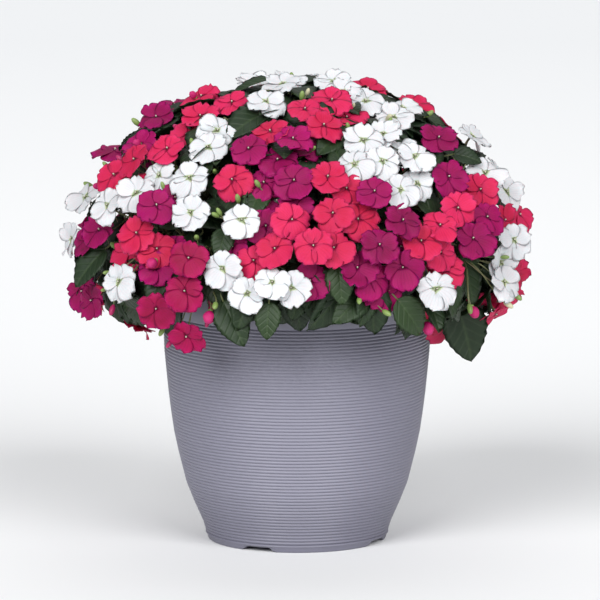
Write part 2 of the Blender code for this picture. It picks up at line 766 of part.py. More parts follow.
def build_pot(collection, cutters):
    mesh = bpy.data.meshes.new("pot")
    profile = pot_profile()
    edges = [(index, index + 1) for index in range(len(profile) - 1)] + [(len(profile) - 1, 0)]
    edges = [edge for edge in edges if not (profile[edge[0]][0] == 0 and profile[edge[1]][0] == 0)]
    mesh.from_pydata([(radius, 0, height) for radius, height in profile], edges, [])
    pot = bpy.data.objects.new("pot", mesh)
    collection.objects.link(pot)
    turn = pot.modifiers.new("turn", "SCREW")
    turn.steps = POT_SIDES
    turn.render_steps = POT_SIDES
    turn.use_merge_vertices = True
    turn.merge_threshold = 0.0001
    turn.use_smooth_shade = False
    mesh.materials.append(material("pot"))
    for index in range(4):
        middle = NOTCH_FIRST + math.radians(90) * index
        rings = []
        for radius in (0.090, 0.125):
            ring = []
            for turn_by, height in ((-1.0, -0.004), (1.0, -0.004), (0.8, NOTCH_HEIGHT),
                                    (-0.8, NOTCH_HEIGHT)):
                wide = 1 + 0.12 * (height < 0)
                angle = middle + NOTCH_HALF * turn_by * wide
                ring.append(Vector((radius * math.cos(angle), radius * math.sin(angle), height)))
            rings.append(ring)
        cutter = mesh_object(f"notch_cutter_{index + 1}", loft(rings), cutters)
        cutter.hide_render = True
        cutter.display_type = "WIRE"
        cut = pot.modifiers.new(f"notch_{index + 1}", "BOOLEAN")
        cut.operation = "DIFFERENCE"
        cut.solver = "EXACT"
        cut.object = cutter
    return pot


def build_soil(collection, cutters, plants):
    """The compost that fills the pot, with a plain hole for each stem."""
    rings = []
    for height in (FLOOR_THICKNESS + GAP, 0.045, 0.105, 0.202, SOIL_TOP):
        radius = outline_radius(height) - POT_WALL - RIB_DEPTH
        radius = radius * math.cos(math.pi / POT_SIDES) - 0.0012
        rings.append(ring_about(Vector((0, 0, height)), Vector((1, 0, 0)), Vector((0, 1, 0)),
                                radius, SOIL_SIDES))
    soil = mesh_object("soil", loft(rings), collection, material("soil"))
    for index, plant in enumerate(plants):
        foot = plant["foot"]
        hole = [ring_about(Vector((foot.x, foot.y, height)), Vector((1, 0, 0)), Vector((0, 1, 0)),
                           STEM_RADIUS + GAP * 1.3, STEM_SIDES)
                for height in (SOIL_TOP - HOLE_DEPTH, SOIL_TOP + 0.02)]
        cutter = mesh_object(f"hole_cutter_{index + 1:02d}", loft(hole), cutters)
        cutter.hide_render = True
        cutter.display_type = "WIRE"
        cut = soil.modifiers.new(f"hole_{index + 1:02d}", "BOOLEAN")
        cut.operation = "DIFFERENCE"
        cut.solver = "EXACT"
        cut.object = cutter
    return soil


def build():
    for item in list(bpy.data.objects):
        bpy.data.objects.remove(item)
    parts = bpy.data.collections.new("busy_lizzie")
    cutters = bpy.data.collections.new("cutters")
    bpy.context.scene.collection.children.link(parts)
    bpy.context.scene.collection.children.link(cutters)
    plants, hubs, branches, blooms, leaves = plan()
    build_pot(parts, cutters)
    build_soil(parts, cutters, plants)
    green = material("leaf")
    petals = {colour: material(colour) for colour in BACK_COLOURS}
    for plant in plants:
        solids = [stem_solid(plant)]
        solids += [branch_solid(branch["path"], branch["radii"], branch["axis"])
                   for branch in branches if branch["plant"] == plant["name"]]
        solids += [leaf_solid(leaf) for leaf in leaves if leaf["plant"] == plant["name"]]
        fuse(plant["name"], solids, parts, green)
    for hub in hubs:
        own = [bloom for bloom in blooms if bloom["spray"] == hub["name"]]
        solids = [hub_solid(hub)]
        for bloom in own:
            disc = bloom_rings(bloom["middle"], bloom["axis"], bloom["side"], bloom["radius"])
            solids.append(loft(stalk_rings(hub, bloom)[:-1] + disc))
        fuse(hub["name"], solids, parts, petals[hub["colour"]])
    print("blooms", len(blooms), "leaves", len(leaves), "branches", len(branches))


build()
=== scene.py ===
"""Busy lizzie in its pot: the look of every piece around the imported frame.

Each operator makes one group of pieces, and the panel in the 3D view's sidebar calls them one by
one. The planting is laid out by the same rule and seed as the frame's own solids, so each fine
bloom, leaf and stem lies on the solid that it stands for.
"""
import functools
import math
import random

import bmesh
import bpy
from bpy.props import FloatProperty, FloatVectorProperty, IntProperty, PointerProperty
from mathutils import Matrix, Vector, noise
from mathutils.bvhtree import BVHTree


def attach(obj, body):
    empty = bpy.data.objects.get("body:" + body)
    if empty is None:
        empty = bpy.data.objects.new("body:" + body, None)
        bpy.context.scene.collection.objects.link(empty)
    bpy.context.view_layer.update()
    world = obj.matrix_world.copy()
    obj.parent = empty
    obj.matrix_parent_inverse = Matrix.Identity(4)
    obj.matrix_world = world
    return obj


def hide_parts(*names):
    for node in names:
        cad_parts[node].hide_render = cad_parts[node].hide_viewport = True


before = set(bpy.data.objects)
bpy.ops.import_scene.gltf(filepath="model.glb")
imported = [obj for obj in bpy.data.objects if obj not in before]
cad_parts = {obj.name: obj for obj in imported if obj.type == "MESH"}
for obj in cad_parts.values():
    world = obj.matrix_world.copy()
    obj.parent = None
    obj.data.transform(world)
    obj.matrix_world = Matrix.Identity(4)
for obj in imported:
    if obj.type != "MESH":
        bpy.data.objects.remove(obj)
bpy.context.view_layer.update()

bl_info = {
    "name": "Busy lizzie in its pot",
    "version": (1, 0, 0),
    "blender": (4, 5, 0),
    "location": "View3D > Sidebar > Busy lizzie",
    "description": "Blooms, leaves, pot, soil and studio of a potted busy lizzie",
    "category": "Object",
}

UP = Vector((0, 0, 1))
# A direction that no tube runs along, for the side of its first ring
TUBE_SIDE = Vector((0.3, 0.8, 0.5))

# Space between a spray's stub and the branch that carries it
GAP = 0.0003

# Pot, in metres: radius and height of its outer side, from the foot up
POT_OUTLINE = ((0.1062, 0.0), (0.1087, 0.0085), (0.1122, 0.0206), (0.123, 0.045), (0.1325, 0.069),
               (0.1415, 0.105), (0.1469, 0.130), (0.1504, 0.154), (0.1534, 0.178), (0.1558, 0.202),
               (0.1582, 0.227), (0.1600, 0.276))
FOOT_TOP = 0.0095
RIB_TOP = 0.276
RIB_DEPTH = 0.0011
BAND_RADIUS = 0.1612
BAND_TOP = 0.323
LIP_RADIUS = 0.1597
POT_HEIGHT = 0.345
POT_WALL = 0.0065
NOTCH_HEIGHT = 0.0055
NOTCH_FIRST = math.radians(-116)
NOTCH_HALF = math.radians(11)

# Soil and the plants' stems
SOIL_TOP = 0.300
CRUMBS = 900
HOLE_DEPTH = 0.030
STEM_RADIUS = 0.0055
STEM_SIDES = 6
STEM_UPRIGHT = 0.012
PLANTS_PER_COLOUR = 4
PLANT_RINGS = {"white": 0.055, "coral": 0.082, "magenta": 0.104}
PLANT_TURNS = {"white": 12, "coral": 42, "magenta": 72}
FORK_HEIGHT = 0.378
BRANCH_RADIUS = 0.0032
BRANCH_SIDES = 3
HUB_RADIUS = 0.0034
HUB_LENGTH = 0.010
HUB_SIDES = 5
HUB_DEPTH = 0.056
# Low hubs keep outside the pot's lip: their height, nearest and farthest reach, and floor
LOW_HUB = 0.39
HUB_NEAR = 0.192
HUB_FAR = 0.214
HUB_FLOOR = 0.378
# Room kept round a branch or leaf, and round a bloom
ROOM = 0.0006
BLOOM_ROOM = 0.0007

# The dome of blooms: an ellipsoid in two halves
DOME_RADIUS = 0.277
DOME_MIDDLE = 0.335
DOME_UP = 0.224
DOME_DOWN = 0.118
BLOOM_RADIUS = 0.0218
BLOOM_THICK = 0.0050
STALK_RADIUS = 0.0014
STALK_PARTS = 2
STALK_SHIFT = 0.0012
STALK_BEND = 0.45
BACK_BLOOM_GAP = 0.053
SPRAY_SWAY = 0.009
BLOOM_LEAN = 0.36
FRONT_LEAN = 0.60
BACK_SIZE = 0.965
BACK_SPRAYS = 16
BACK_COLOURS = ("white", "coral", "magenta")
# Tries: at a bloom, a leaf, a branch, all back places and all back leaves
BLOOM_TRIES = 60
LEAF_TRIES = 80
BRANCH_TRIES = 120
PLACE_TRIES = 9000
BACK_LEAF_TRIES = 400
# How much a bloom, a leaf and an inner leaf look upward, and how far each try moves a bloom
BLOOM_UP = 0.22
LEAF_UP = 0.3
INNER_UP = 0.5
BLOOM_SLIP = 0.0035
# The lowest places for back blooms in front of and behind the pot's middle, and for leaves
LOW_FRONT = 0.285
LOW_BACK = 0.255
LOW_LEAF = 0.26

# Leaves
LEAF_THICK = 0.0018
PETIOLE_RADIUS = 0.0013
PETIOLE_PARTS = 2
LARGE_LEAF = 44
LEAF_REACH = 0.135
LEAF_LEAN = 0.9
LEAF_WIDTH = 0.33
BACK_LEAVES = 26
SEED = 29

# The view that the front blooms are placed from: picture steps across and down from the top left
VIEW_TARGET = Vector((0.0036, 0.0, 0.287))
VIEW_ELEVATION = math.radians(9.1)
VIEW_DISTANCE = 9.0
VIEW_STEP = 0.001194
VIEW_MIDDLE = 300
VIEW_TOWARD = Vector((0, -math.cos(VIEW_ELEVATION), math.sin(VIEW_ELEVATION)))

# For each colour, the front sprays and their blooms' places, read off that view
FRONT_SPRAYS = {
    "white": (
        ((266, 100), (283, 82)),
        ((187, 174), (156, 172), (206, 143), (216, 126)),
        ((110, 206), (138, 194), (192, 213), (121, 281)),
        ((241, 218), (221, 268), (247, 293), (291, 288), (272, 281)),
        ((367, 96), (344, 86), (405, 103), (395, 112)),
        ((363, 140), (383, 133), (405, 123), (354, 164)),
        ((381, 163), (402, 147), (413, 158), (421, 178), (399, 191)),
        ((473, 135), (484, 173), (506, 192)),
        ((510, 240), (508, 262), (503, 281), (434, 288)),
    ),
    "coral": (
        ((231, 98), (199, 112), (181, 124), (200, 92)),
        ((168, 149), (135, 160), (146, 170), (115, 175)),
        ((231, 177), (292, 218), (274, 247), (251, 259)),
        ((138, 233), (113, 247), (151, 247)),
        ((305, 108), (332, 99), (324, 124), (349, 106), (270, 130)),
        ((328, 175), (348, 184), (333, 212), (360, 216)),
        ((313, 246), (334, 247)),
        ((441, 224), (459, 207), (445, 251), (422, 240), (453, 268)),
        ((482, 188), (524, 213), (528, 237), (507, 219)),
        ((503, 316), (522, 320), (530, 303), (535, 288), (466, 353), (484, 352)),
    ),
    "magenta": (
        ((138, 141), (130, 148), (96, 228), (84, 238)),
        ((78, 293), (90, 301)),
        ((150, 267), (164, 248), (160, 206), (170, 192)),
        ((191, 258), (187, 290), (159, 306), (188, 332), (218, 318)),
        ((293, 140), (277, 155), (249, 150), (304, 135)),
        ((294, 178), (262, 175), (296, 200), (275, 190)),
        ((264, 221), (239, 236)),
        ((401, 221), (407, 244), (378, 245), (373, 193)),
        ((359, 267), (404, 267), (375, 278), (388, 292), (311, 281)),
        ((438, 138), (448, 177), (486, 217), (472, 238)),
    ),
}

# Places and lengths (in picture steps) of the leaves that show between the front blooms
FRONT_LEAVES = (
    (88, 267, 46), (470, 334, 60), (233, 324, 46), (268, 320, 34), (411, 318, 44), (486, 265, 38),
    (342, 284, 38), (170, 268, 34), (153, 290, 34), (193, 142, 34), (232, 122, 34), (174, 236, 34),
    (214, 240, 34), (252, 200, 36), (216, 205, 34), (104, 309, 34), (220, 293, 34), (378, 313, 38),
    (445, 340, 36), (470, 156, 34), (422, 119, 34), (497, 205, 34), (342, 156, 34), (357, 242, 34),
    (384, 209, 34), (140, 318, 38), (500, 340, 38), (310, 84, 34), (430, 200, 34), (300, 262, 34),
    (425, 268, 34), (100, 190, 34), (320, 150, 34),
)

# Places of the buds that show between the front blooms
FRONT_BUDS = ((472, 311), (427, 330), (214, 307), (103, 183), (117, 156), (161, 184), (237, 197),
              (257, 182), (237, 155), (314, 146), (390, 115), (431, 111), (388, 315), (508, 257))

# Blooms about to open: picture steps across and down, and the length in steps
FRONT_OPENING = ((428, 328, 19), (474, 312, 17), (209, 317, 19), (152, 263, 17), (137, 143, 12),
                 (97, 186, 11), (193, 95, 12))
# Sprays of the deeper rose colour
ROSE_SPRAYS = ("magenta_spray_04",)

PETAL_SPREAD = 0.8
# Each bloom colour's deep and pale tones, its eye, and how far its blooms differ in tone
PETAL_TONES = {
    "white": ((0.42, 0.41, 0.44), (0.74, 0.73, 0.75), (0.42, 0.48, 0.26), 0.35),
    "coral": ((0.40, 0.005, 0.036), (0.65, 0.032, 0.145), (0.36, 0.008, 0.055), PETAL_SPREAD),
    "magenta": ((0.14, 0.001, 0.036), (0.39, 0.002, 0.145), (0.20, 0.001, 0.06),
                PETAL_SPREAD),
    "rose": ((0.19, 0.001, 0.030), (0.48, 0.003, 0.13), (0.25, 0.001, 0.045), PETAL_SPREAD),
}
PETAL_ROWS = 9
PETAL_COLUMNS = 9
# Each petal of a bloom: its turn from the top, its reach and its width
PETALS = ((90, 0.90, 1.00), (16, 1.04, 0.96), (164, 1.04, 0.96), (-53, 1.20, 1.06),
          (-127, 1.20, 1.06))

# Studio: the sky's colour, the floor's radius, its colour near the pot and the painted shade it
# fades to far off, the picture's width in steps, the camera's sensor, and each light's direction,
# spread and strength
SKY_COLOUR = (0.90, 0.92, 0.96)
VIEW_WIDTH = 600
SENSOR = 36.0
FLOOR_RADIUS = 40.0
FLOOR_NEAR = (0.855, 0.86, 0.865)
FLOOR_PAINTED_DIM = (0.775, 0.785, 0.795)
LIGHTS = (("key", (-0.55, -1.0, 0.70), 34, 2.45), ("fill", (0.60, -1.0, 0.70), 38, 2.05),
          ("back", (0.1, 0.9, 1.6), 60, 0.70))


def dome_level(point):
    """Below 1 inside the dome, 1 on it."""
    tall = DOME_UP if point.z > DOME_MIDDLE else DOME_DOWN
    flat = (point.x ** 2 + point.y ** 2) / DOME_RADIUS ** 2
    return flat + ((point.z - DOME_MIDDLE) / tall) ** 2


def dome_normal(point):
    """The dome's outward direction at a point."""
    tall = DOME_UP if point.z > DOME_MIDDLE else DOME_DOWN
    return Vector((point.x / DOME_RADIUS ** 2, point.y / DOME_RADIUS ** 2,
                   (point.z - DOME_MIDDLE) / tall ** 2)).normalized()


def around(radius, turn, height=0.0):
    """A point round the upright middle line."""
    return Vector((radius * math.cos(turn), radius * math.sin(turn), height))


def dome_point(turn, rise, size=1.0):
    """A point of the dome, or of a smaller copy of it, at a turn and a share of its height."""
    tall = (DOME_UP if rise > 0 else DOME_DOWN) * size
    wide = math.sqrt(1 - rise * rise) * DOME_RADIUS * size
    return around(wide, turn, DOME_MIDDLE + rise * tall)


def scatter(chance, reach=1.0):
    """A random step of up to reach along each direction."""
    return Vector([chance.uniform(-reach, reach) for _ in range(3)])


def seen_at(across, down):
    """The point of the dome that the front view shows at a picture place."""
    rise = Vector((0, math.sin(VIEW_ELEVATION), math.cos(VIEW_ELEVATION)))
    eye = VIEW_TARGET + VIEW_TOWARD * VIEW_DISTANCE
    aim = VIEW_TARGET + Vector((1, 0, 0)) * (across - VIEW_MIDDLE) * VIEW_STEP
    aim += rise * (VIEW_MIDDLE - down) * VIEW_STEP
    ray = (aim - eye).normalized()
    best, level = None, None
    for step in range(320):
        point = eye + ray * (VIEW_DISTANCE - 0.40 + step * 0.0025)
        here = dome_level(point)
        if here <= 1:
            return point
        if level is None or here < level:
            best, level = point, here
    middle = Vector((0, 0, DOME_MIDDLE))
    return middle + (best - middle) / math.sqrt(level)


def ring_about(middle, side, rise, radius, count):
    """Points of a regular ring."""
    points = []
    for index in range(count):
        angle = math.tau * index / count
        points.append(middle + side * math.cos(angle) * radius + rise * math.sin(angle) * radius)
    return points


def bridge(faces, low, high):
    """Triangles between two closed rows of corners that may have unlike counts."""
    first = second = 0
    while first < len(low) or second < len(high):
        if len(high) == 1 and first == len(low):
            break
        take_low = second == len(high) or len(high) == 1
        if not take_low and first < len(low):
            take_low = (first + 0.5) / len(low) <= (second + 0.5) / len(high)
        if take_low:
            faces.append((low[first % len(low)], low[(first + 1) % len(low)],
                          high[second % len(high)]))
            first += 1
        else:
            faces.append((low[first % len(low)], high[(second + 1) % len(high)],
                          high[second % len(high)]))
            second += 1


def loft(rings):
    """Corners and faces of a closed solid through the rings, the last of which may be one point."""
    verts, rows, faces = [], [], []
    for ring in rings:
        rows.append(list(range(len(verts), len(verts) + len(ring))))
        verts.extend(ring)
    faces.append(tuple(reversed(rows[0])))
    for low, high in zip(rows, rows[1:]):
        bridge(faces, low, high)
    if len(rows[-1]) > 1:
        faces.append(tuple(rows[-1]))
    return verts, faces


def carried(path, side):
    """For each point of a path: its direction and a side direction carried along without twist."""
    frames = []
    for index in range(len(path)):
        ahead = path[min(index + 1, len(path) - 1)] - path[max(index - 1, 0)]
        ahead.normalize()
        side = (side - ahead * side.dot(ahead)).normalized()
        frames.append((ahead.copy(), side.copy()))
    return frames


def tube(path, radii, sides, side, backward=False):
    """Rings of a tube along a path, or from its far end where the side direction is known there."""
    if backward:
        path, radii = path[::-1], radii[::-1]
    rings = []
    for point, radius, (ahead, across) in zip(path, radii, carried(path, side)):
        ahead = -ahead if backward else ahead
        rings.append(ring_about(point, across, ahead.cross(across), radius, sides))
    return rings[::-1] if backward else rings


def curve(start, out, arrive, end, count):
    """Points of a cubic curve that leaves start by out and comes to end from arrive."""
    points = []
    for index in range(count + 1):
        t = index / count
        s = 1 - t
        points.append(start * s ** 3 + out * 3 * s * s * t + arrive * 3 * s * t * t + end * t ** 3)
    return points


class Space:
    """The room that placed pieces take up."""

    def __init__(self):
        self.items = []

    def measure(self, solid):
        middle = sum(solid[0], Vector()) / len(solid[0])
        return middle, max((vert - middle).length for vert in solid[0])

    def add(self, solid, kind, owner):
        self.items.append((BVHTree.FromPolygons(*solid), *self.measure(solid), kind, owner))

    def clear(self, solid, ignore=lambda kind, owner: False):
        middle, reach = self.measure(solid)
        tree = None
        for other, centre, size, kind, owner in self.items:
            if (centre - middle).length > reach + size or ignore(kind, owner):
                continue
            tree = tree or BVHTree.FromPolygons(*solid)
            if tree.overlap(other):
                return False
        return True


def bloom_frame(axis, roll):
    """Side and rise directions of a bloom that faces along axis."""
    side = axis.cross(UP)
    if side.length < 0.05:
        side = axis.cross(Vector((0, 1, 0)))
    side.normalize()
    return Matrix.Rotation(roll, 3, axis) @ side


def bloom_rings(bloom, swell=0.0):
    """Neck, waved rim and sunken middle of a bloom with five broad petals."""
    middle, axis, side, radius = (bloom[key] for key in ("middle", "axis", "side", "radius"))
    rise = axis.cross(side)
    wide = radius + swell
    neck = ring_about(middle - axis * (BLOOM_THICK + swell), side, rise, STALK_RADIUS + swell, 3)
    rim = []
    for petal in range(5):
        for turn, reach, lift in ((0, 0.74, -0.05), (20, 1.0, 0.05), (52, 1.0, -0.02)):
            angle = math.radians(petal * 72 + turn)
            rim.append(middle + side * math.cos(angle) * wide * reach
                       + rise * math.sin(angle) * wide * reach + axis * radius * lift)
    return [neck, rim, [middle - axis * (0.0012 - swell)]]


def stalk_path(hub, bloom, parts):
    """The line of a bloom's stalk, from its hub to just behind the bloom."""
    end = bloom["middle"] - bloom["axis"] * BLOOM_THICK
    root = hub["root"] + bloom["shift"]
    span = (end - root).length
    return curve(root, root + hub["axis"] * span * 0.35, end - bloom["axis"] * span * 0.38, end,
                 parts)


def bloom_solids(hub, bloom, swell=0.0):
    """A bloom's disc and its stalk as two solids, for testing the room they need."""
    disc = loft(bloom_rings(bloom, swell))
    stalk = loft(tube(stalk_path(hub, bloom, STALK_PARTS),
                      [STALK_RADIUS + swell] * (STALK_PARTS + 1), 3, bloom["side"], backward=True))
    return disc, stalk


def hub_for(places):
    """Where a spray's stalks meet, inside the dome behind its blooms."""
    middle = sum(places, Vector()) / len(places)
    normal = sum((dome_normal(place) for place in places), Vector()).normalized()
    point = middle - normal * HUB_DEPTH
    flat = Vector((point.x, point.y, 0))
    if point.z < LOW_HUB:
        wide = min(max(flat.length, HUB_NEAR), HUB_FAR)
        flat = flat.normalized() * wide
        point = Vector((flat.x, flat.y, max(point.z, HUB_FLOOR - (wide - HUB_NEAR) * 1.1)))
    axis = (middle - point).normalized()
    if point.z < 0.42:
        axis = (axis + UP * 0.45 + flat.normalized() * 0.3).normalized()
    return {"base": point, "axis": axis, "root": point + axis * HUB_LENGTH * 0.6}


def place_bloom(space, hub, place, chance):
    """Seat one bloom near its place on the dome, clear of everything set before."""
    normal, spray = dome_normal(place), hub["name"]
    front = FRONT_LEAN * min(1.0, max(0.0, 0.8 + 2.0 * normal.dot(VIEW_TOWARD)))
    facing = normal + UP * BLOOM_UP + VIEW_TOWARD * front
    hard = random.Random(chance.random())
    shift = scatter(hard) * STALK_SHIFT
    for attempt in range(BLOOM_TRIES):
        axis = (facing + scatter(hard) * (BLOOM_LEAN + 0.005 * attempt)).normalized()
        depth = BLOOM_SLIP * (attempt % 12) - 0.003
        middle = place - normal * depth + scatter(hard) * BLOOM_SLIP * (attempt // 12)
        radius = BLOOM_RADIUS * hard.uniform(0.93, 1.05) * (1 - 0.003 * attempt)
        side = bloom_frame(axis, hard.uniform(-0.5, 0.5))
        bloom = {"middle": middle, "axis": axis, "side": side, "radius": radius, "spray": spray,
                 "shift": shift}
        if (middle - hub["root"]).normalized().dot(axis) < STALK_BEND:
            continue
        disc, stalk = bloom_solids(hub, bloom, BLOOM_ROOM)
        if space.clear(disc) and space.clear(stalk, lambda kind, owner: kind in ("stalk", "hub")
                                             and owner == spray):
            disc, stalk = bloom_solids(hub, bloom)
            space.add(disc, "disc", spray)
            space.add(stalk, "stalk", spray)
            return bloom
    return None


def back_places(front, chance):
    """Seeded places on the rest of the dome, each a bloom's width from the others."""
    taken = list(front)
    places = []
    for _ in range(PLACE_TRIES):
        turn = chance.uniform(0, math.tau)
        rise = chance.uniform(-0.93, 1.0)
        if rise < 0 and chance.random() > 0.6:
            continue
        point = dome_point(turn, rise, BACK_SIZE)
        if point.z < (LOW_FRONT if point.y < 0 else LOW_BACK):
            continue
        if point.y < 0 and seen_at_back(point) < 0:
            continue
        if all((point - other).length > BACK_BLOOM_GAP for other in taken):
            taken.append(point)
            places.append(point)
    return places


def seen_at_back(point):
    """Negative where a place of the dome faces the front view and so is already filled."""
    return 0.12 - dome_normal(point).dot(VIEW_TOWARD)


def group_back(places):
    """Share the back places out among evenly spread sprays, neighbours unlike in colour."""
    seeds = [max(places, key=lambda place: place.y)]
    while len(seeds) < BACK_SPRAYS:
        seeds.append(max(places, key=lambda place: min((place - seed).length for seed in seeds)))
    for _ in range(6):
        groups = [[] for _ in seeds]
        for place in places:
            near = min(range(len(seeds)), key=lambda index: (place - seeds[index]).length)
            groups[near].append(place)
        seeds = [sum(group, Vector()) / len(group) for group in groups]
    order = sorted(range(len(seeds)), key=lambda index: math.atan2(seeds[index].x, seeds[index].y))
    sprays, counts = [], {colour: 0 for colour in BACK_COLOURS}
    placed = []
    for index in order:
        near = sorted(placed, key=lambda item: (item[0] - seeds[index]).length)[:2]
        beside = [item[1] for item in near]
        choice = min(BACK_COLOURS, key=lambda colour: (beside.count(colour), counts[colour]))
        counts[choice] += 1
        placed.append((seeds[index], choice))
        sprays.append((choice, groups[index]))
    return sprays


def pot_room():
    """The room the pot and the soil take up, in a plain form."""
    up, side = Vector((0, 1, 0)), Vector((1, 0, 0))
    outer = [ring_about(Vector((0, 0, height)), side, up, radius + 0.004, 24)
             for radius, height in ((0.11, 0.0), (0.155, 0.18), (0.163, 0.27), (0.163, 0.348))]
    inner = [ring_about(Vector((0, 0, height)), side, up, radius, 24)
             for radius, height in ((0.149, 0.348), (0.149, 0.309))]
    return loft(outer + inner)


def branch_solid(path, radii, axis, swell=0.0):
    """A branch whose far end is cut square to axis."""
    rings = tube(path, [radius + swell for radius in radii], BRANCH_SIDES, TUBE_SIDE)
    across = carried(path, TUBE_SIDE)[-1][1]
    across = (across - axis * across.dot(axis)).normalized()
    rings[-1] = ring_about(path[-1], across, axis.cross(across), radii[-1] + swell, BRANCH_SIDES)
    return loft(rings)


def plan_branch(space, plant, hub, chance):
    """A branch from the plant's fork to just short of the spray's hub, clear of the rest."""
    end = hub["base"] - hub["axis"] * GAP
    for attempt in range(BRANCH_TRIES):
        start = plant["axis_at"]((plant["fork"] + UP * chance.uniform(-0.012, 0.03)).z)
        loose = 0.2 + attempt / 60
        slip = Vector((chance.uniform(-1, 1), chance.uniform(-1, 1), chance.uniform(-0.5, 1)))
        outward = (end - start).normalized()
        span = (end - start).length
        out = start + (outward + UP).normalized() * span * 0.35
        out += slip * 0.02 * loose
        arrive = end - hub["axis"] * span * chance.uniform(0.25, 0.45)
        path = curve(start, out, arrive, end, 3)
        radii = [BRANCH_RADIUS + 0.0006, BRANCH_RADIUS + 0.0004, BRANCH_RADIUS, BRANCH_RADIUS]
        short = path[:-1] + [path[-1] - hub["axis"] * 0.0018]
        if space.clear(branch_solid(short, radii, hub["axis"], ROOM),
                       lambda kind, owner: owner == plant["name"]):
            space.add(branch_solid(path, radii, hub["axis"]), "branch", plant["name"])
            return {"path": path, "radii": radii, "plant": plant["name"]}
    return None


def plan_plants():
    """Feet, forks and slanting stems of the twelve plants."""
    plants = []
    for colour in BACK_COLOURS:
        for index in range(PLANTS_PER_COLOUR):
            turn = math.radians(PLANT_TURNS[colour] + 90 * index)
            foot = around(PLANT_RINGS[colour], turn, SOIL_TOP)
            lean = around(1.0, turn) * 0.14 + UP

            def axis_at(height, foot=foot, lean=lean):
                if height < SOIL_TOP + STEM_UPRIGHT:
                    return Vector((foot.x, foot.y, height))
                return foot + lean * (height - SOIL_TOP - STEM_UPRIGHT) + UP * STEM_UPRIGHT
            plants.append({"name": f"leafy_stem_{len(plants) + 1:02d}", "colour": colour,
                           "foot": foot, "fork": axis_at(FORK_HEIGHT), "axis_at": axis_at})
    return plants


def stem_solid(plant):
    """The main stem, from the bottom of its hole in the soil to above the fork."""
    rings = []
    for height, thinner in ((SOIL_TOP - HOLE_DEPTH + 0.006, 0), (SOIL_TOP + STEM_UPRIGHT, 0),
                            (FORK_HEIGHT - 0.02, 0.0005), (FORK_HEIGHT + 0.036, 0.0013)):
        rings.append(ring_about(plant["axis_at"](height), Vector((1, 0, 0)), Vector((0, 1, 0)),
                                STEM_RADIUS - thinner, STEM_SIDES))
    return loft(rings)


def leaf_stalk(leaf, heel, end, parts):
    """The line of a leaf's stalk, which comes to its heel from the branch."""
    root = leaf["root"]
    span = (heel - root).length
    return curve(root, root + (heel - root) * 0.3 + leaf["normal"] * span * 0.12,
                 heel - leaf["tip"] * span * 0.3, end, parts)


def leaf_solid(leaf, swell=0.0):
    """A pointed blade with a shallow fold along its midrib, and its stalk."""
    tip, side, normal = leaf["tip"], leaf["side"], leaf["normal"]
    length, half = leaf["length"], leaf["half"]
    heel = leaf["middle"] - tip * length * 0.5
    stalk = leaf_stalk(leaf, heel, heel, PETIOLE_PARTS)
    rings = []
    for (ahead, across), point in zip(carried(stalk[::-1], side), stalk[::-1]):
        rise = across.cross(-ahead)
        thick = PETIOLE_RADIUS + swell
        rings.append([point - across * thick, point + rise * thick, point + across * thick,
                      point - rise * thick])
    rings.reverse()
    for t, wide in ((0.18, 0.78), (0.52, 1.0)):
        middle = heel + tip * t * length + normal * length * 0.22 * (t - t * t * 1.35)
        lift = normal * (half * wide * 0.16)
        reach = half * wide + swell
        thick = LEAF_THICK / 2 + swell
        rings.append([middle - side * reach + lift, middle + normal * thick,
                      middle + side * reach + lift, middle - normal * thick])
    rings.append([heel + tip * (length + swell) - normal * length * 0.08])
    return loft(rings)


def nearest_root(point, branches):
    """The place on a branch that a leaf near point grows from."""
    best = None
    for branch in branches:
        path = branch["path"]
        for index in range(1, len(path) - 1):
            for t in (0.0, 0.33, 0.66):
                spot = path[index].lerp(path[index + 1], t)
                reach = (spot - point).length
                if best is None or reach < best[0]:
                    best = (reach, spot, branch["plant"])
    return best


def plan_leaf(space, place, normal, length, branches, chance, depths):
    """Seat one leaf under the blooms near its place."""
    normal = normal.normalized()
    normal = Vector((normal.x, normal.y, max(normal.z, -0.1))).normalized()
    for attempt in range(LEAF_TRIES):
        depth = depths[0] + (depths[1] - depths[0]) * (attempt % 8) / 7
        slip = scatter(chance)
        middle = place - normal * depth + slip * 0.0015 * (attempt / 4)
        reach, root, owner = nearest_root(middle, branches)
        if reach > LEAF_REACH:
            continue
        out = middle - root
        face = (normal + UP * LEAF_UP + slip * 0.25).normalized()
        down = UP * -0.5 + Vector((middle.x, middle.y, 0)).normalized() * 0.6
        tip = out.normalized() * 0.9 + down * 0.8 + slip * 0.6
        tip = tip - face * tip.dot(face)
        if tip.length < 0.2:
            continue
        tip.normalize()
        size = length * (1 - 0.005 * attempt)
        stalk = middle - tip * size * 0.5 - root
        if stalk.length < 0.012 or stalk.normalized().dot(tip) < 0.12:
            continue
        leaf = {"middle": middle, "normal": face, "tip": tip, "side": tip.cross(face),
                "length": size, "half": size * LEAF_WIDTH, "root": root, "plant": owner}
        if space.clear(leaf_solid(leaf, ROOM), lambda kind, other: kind in ("branch", "stem")
                       and other == owner):
            space.add(leaf_solid(leaf), "leaf", owner)
            return leaf
    return None


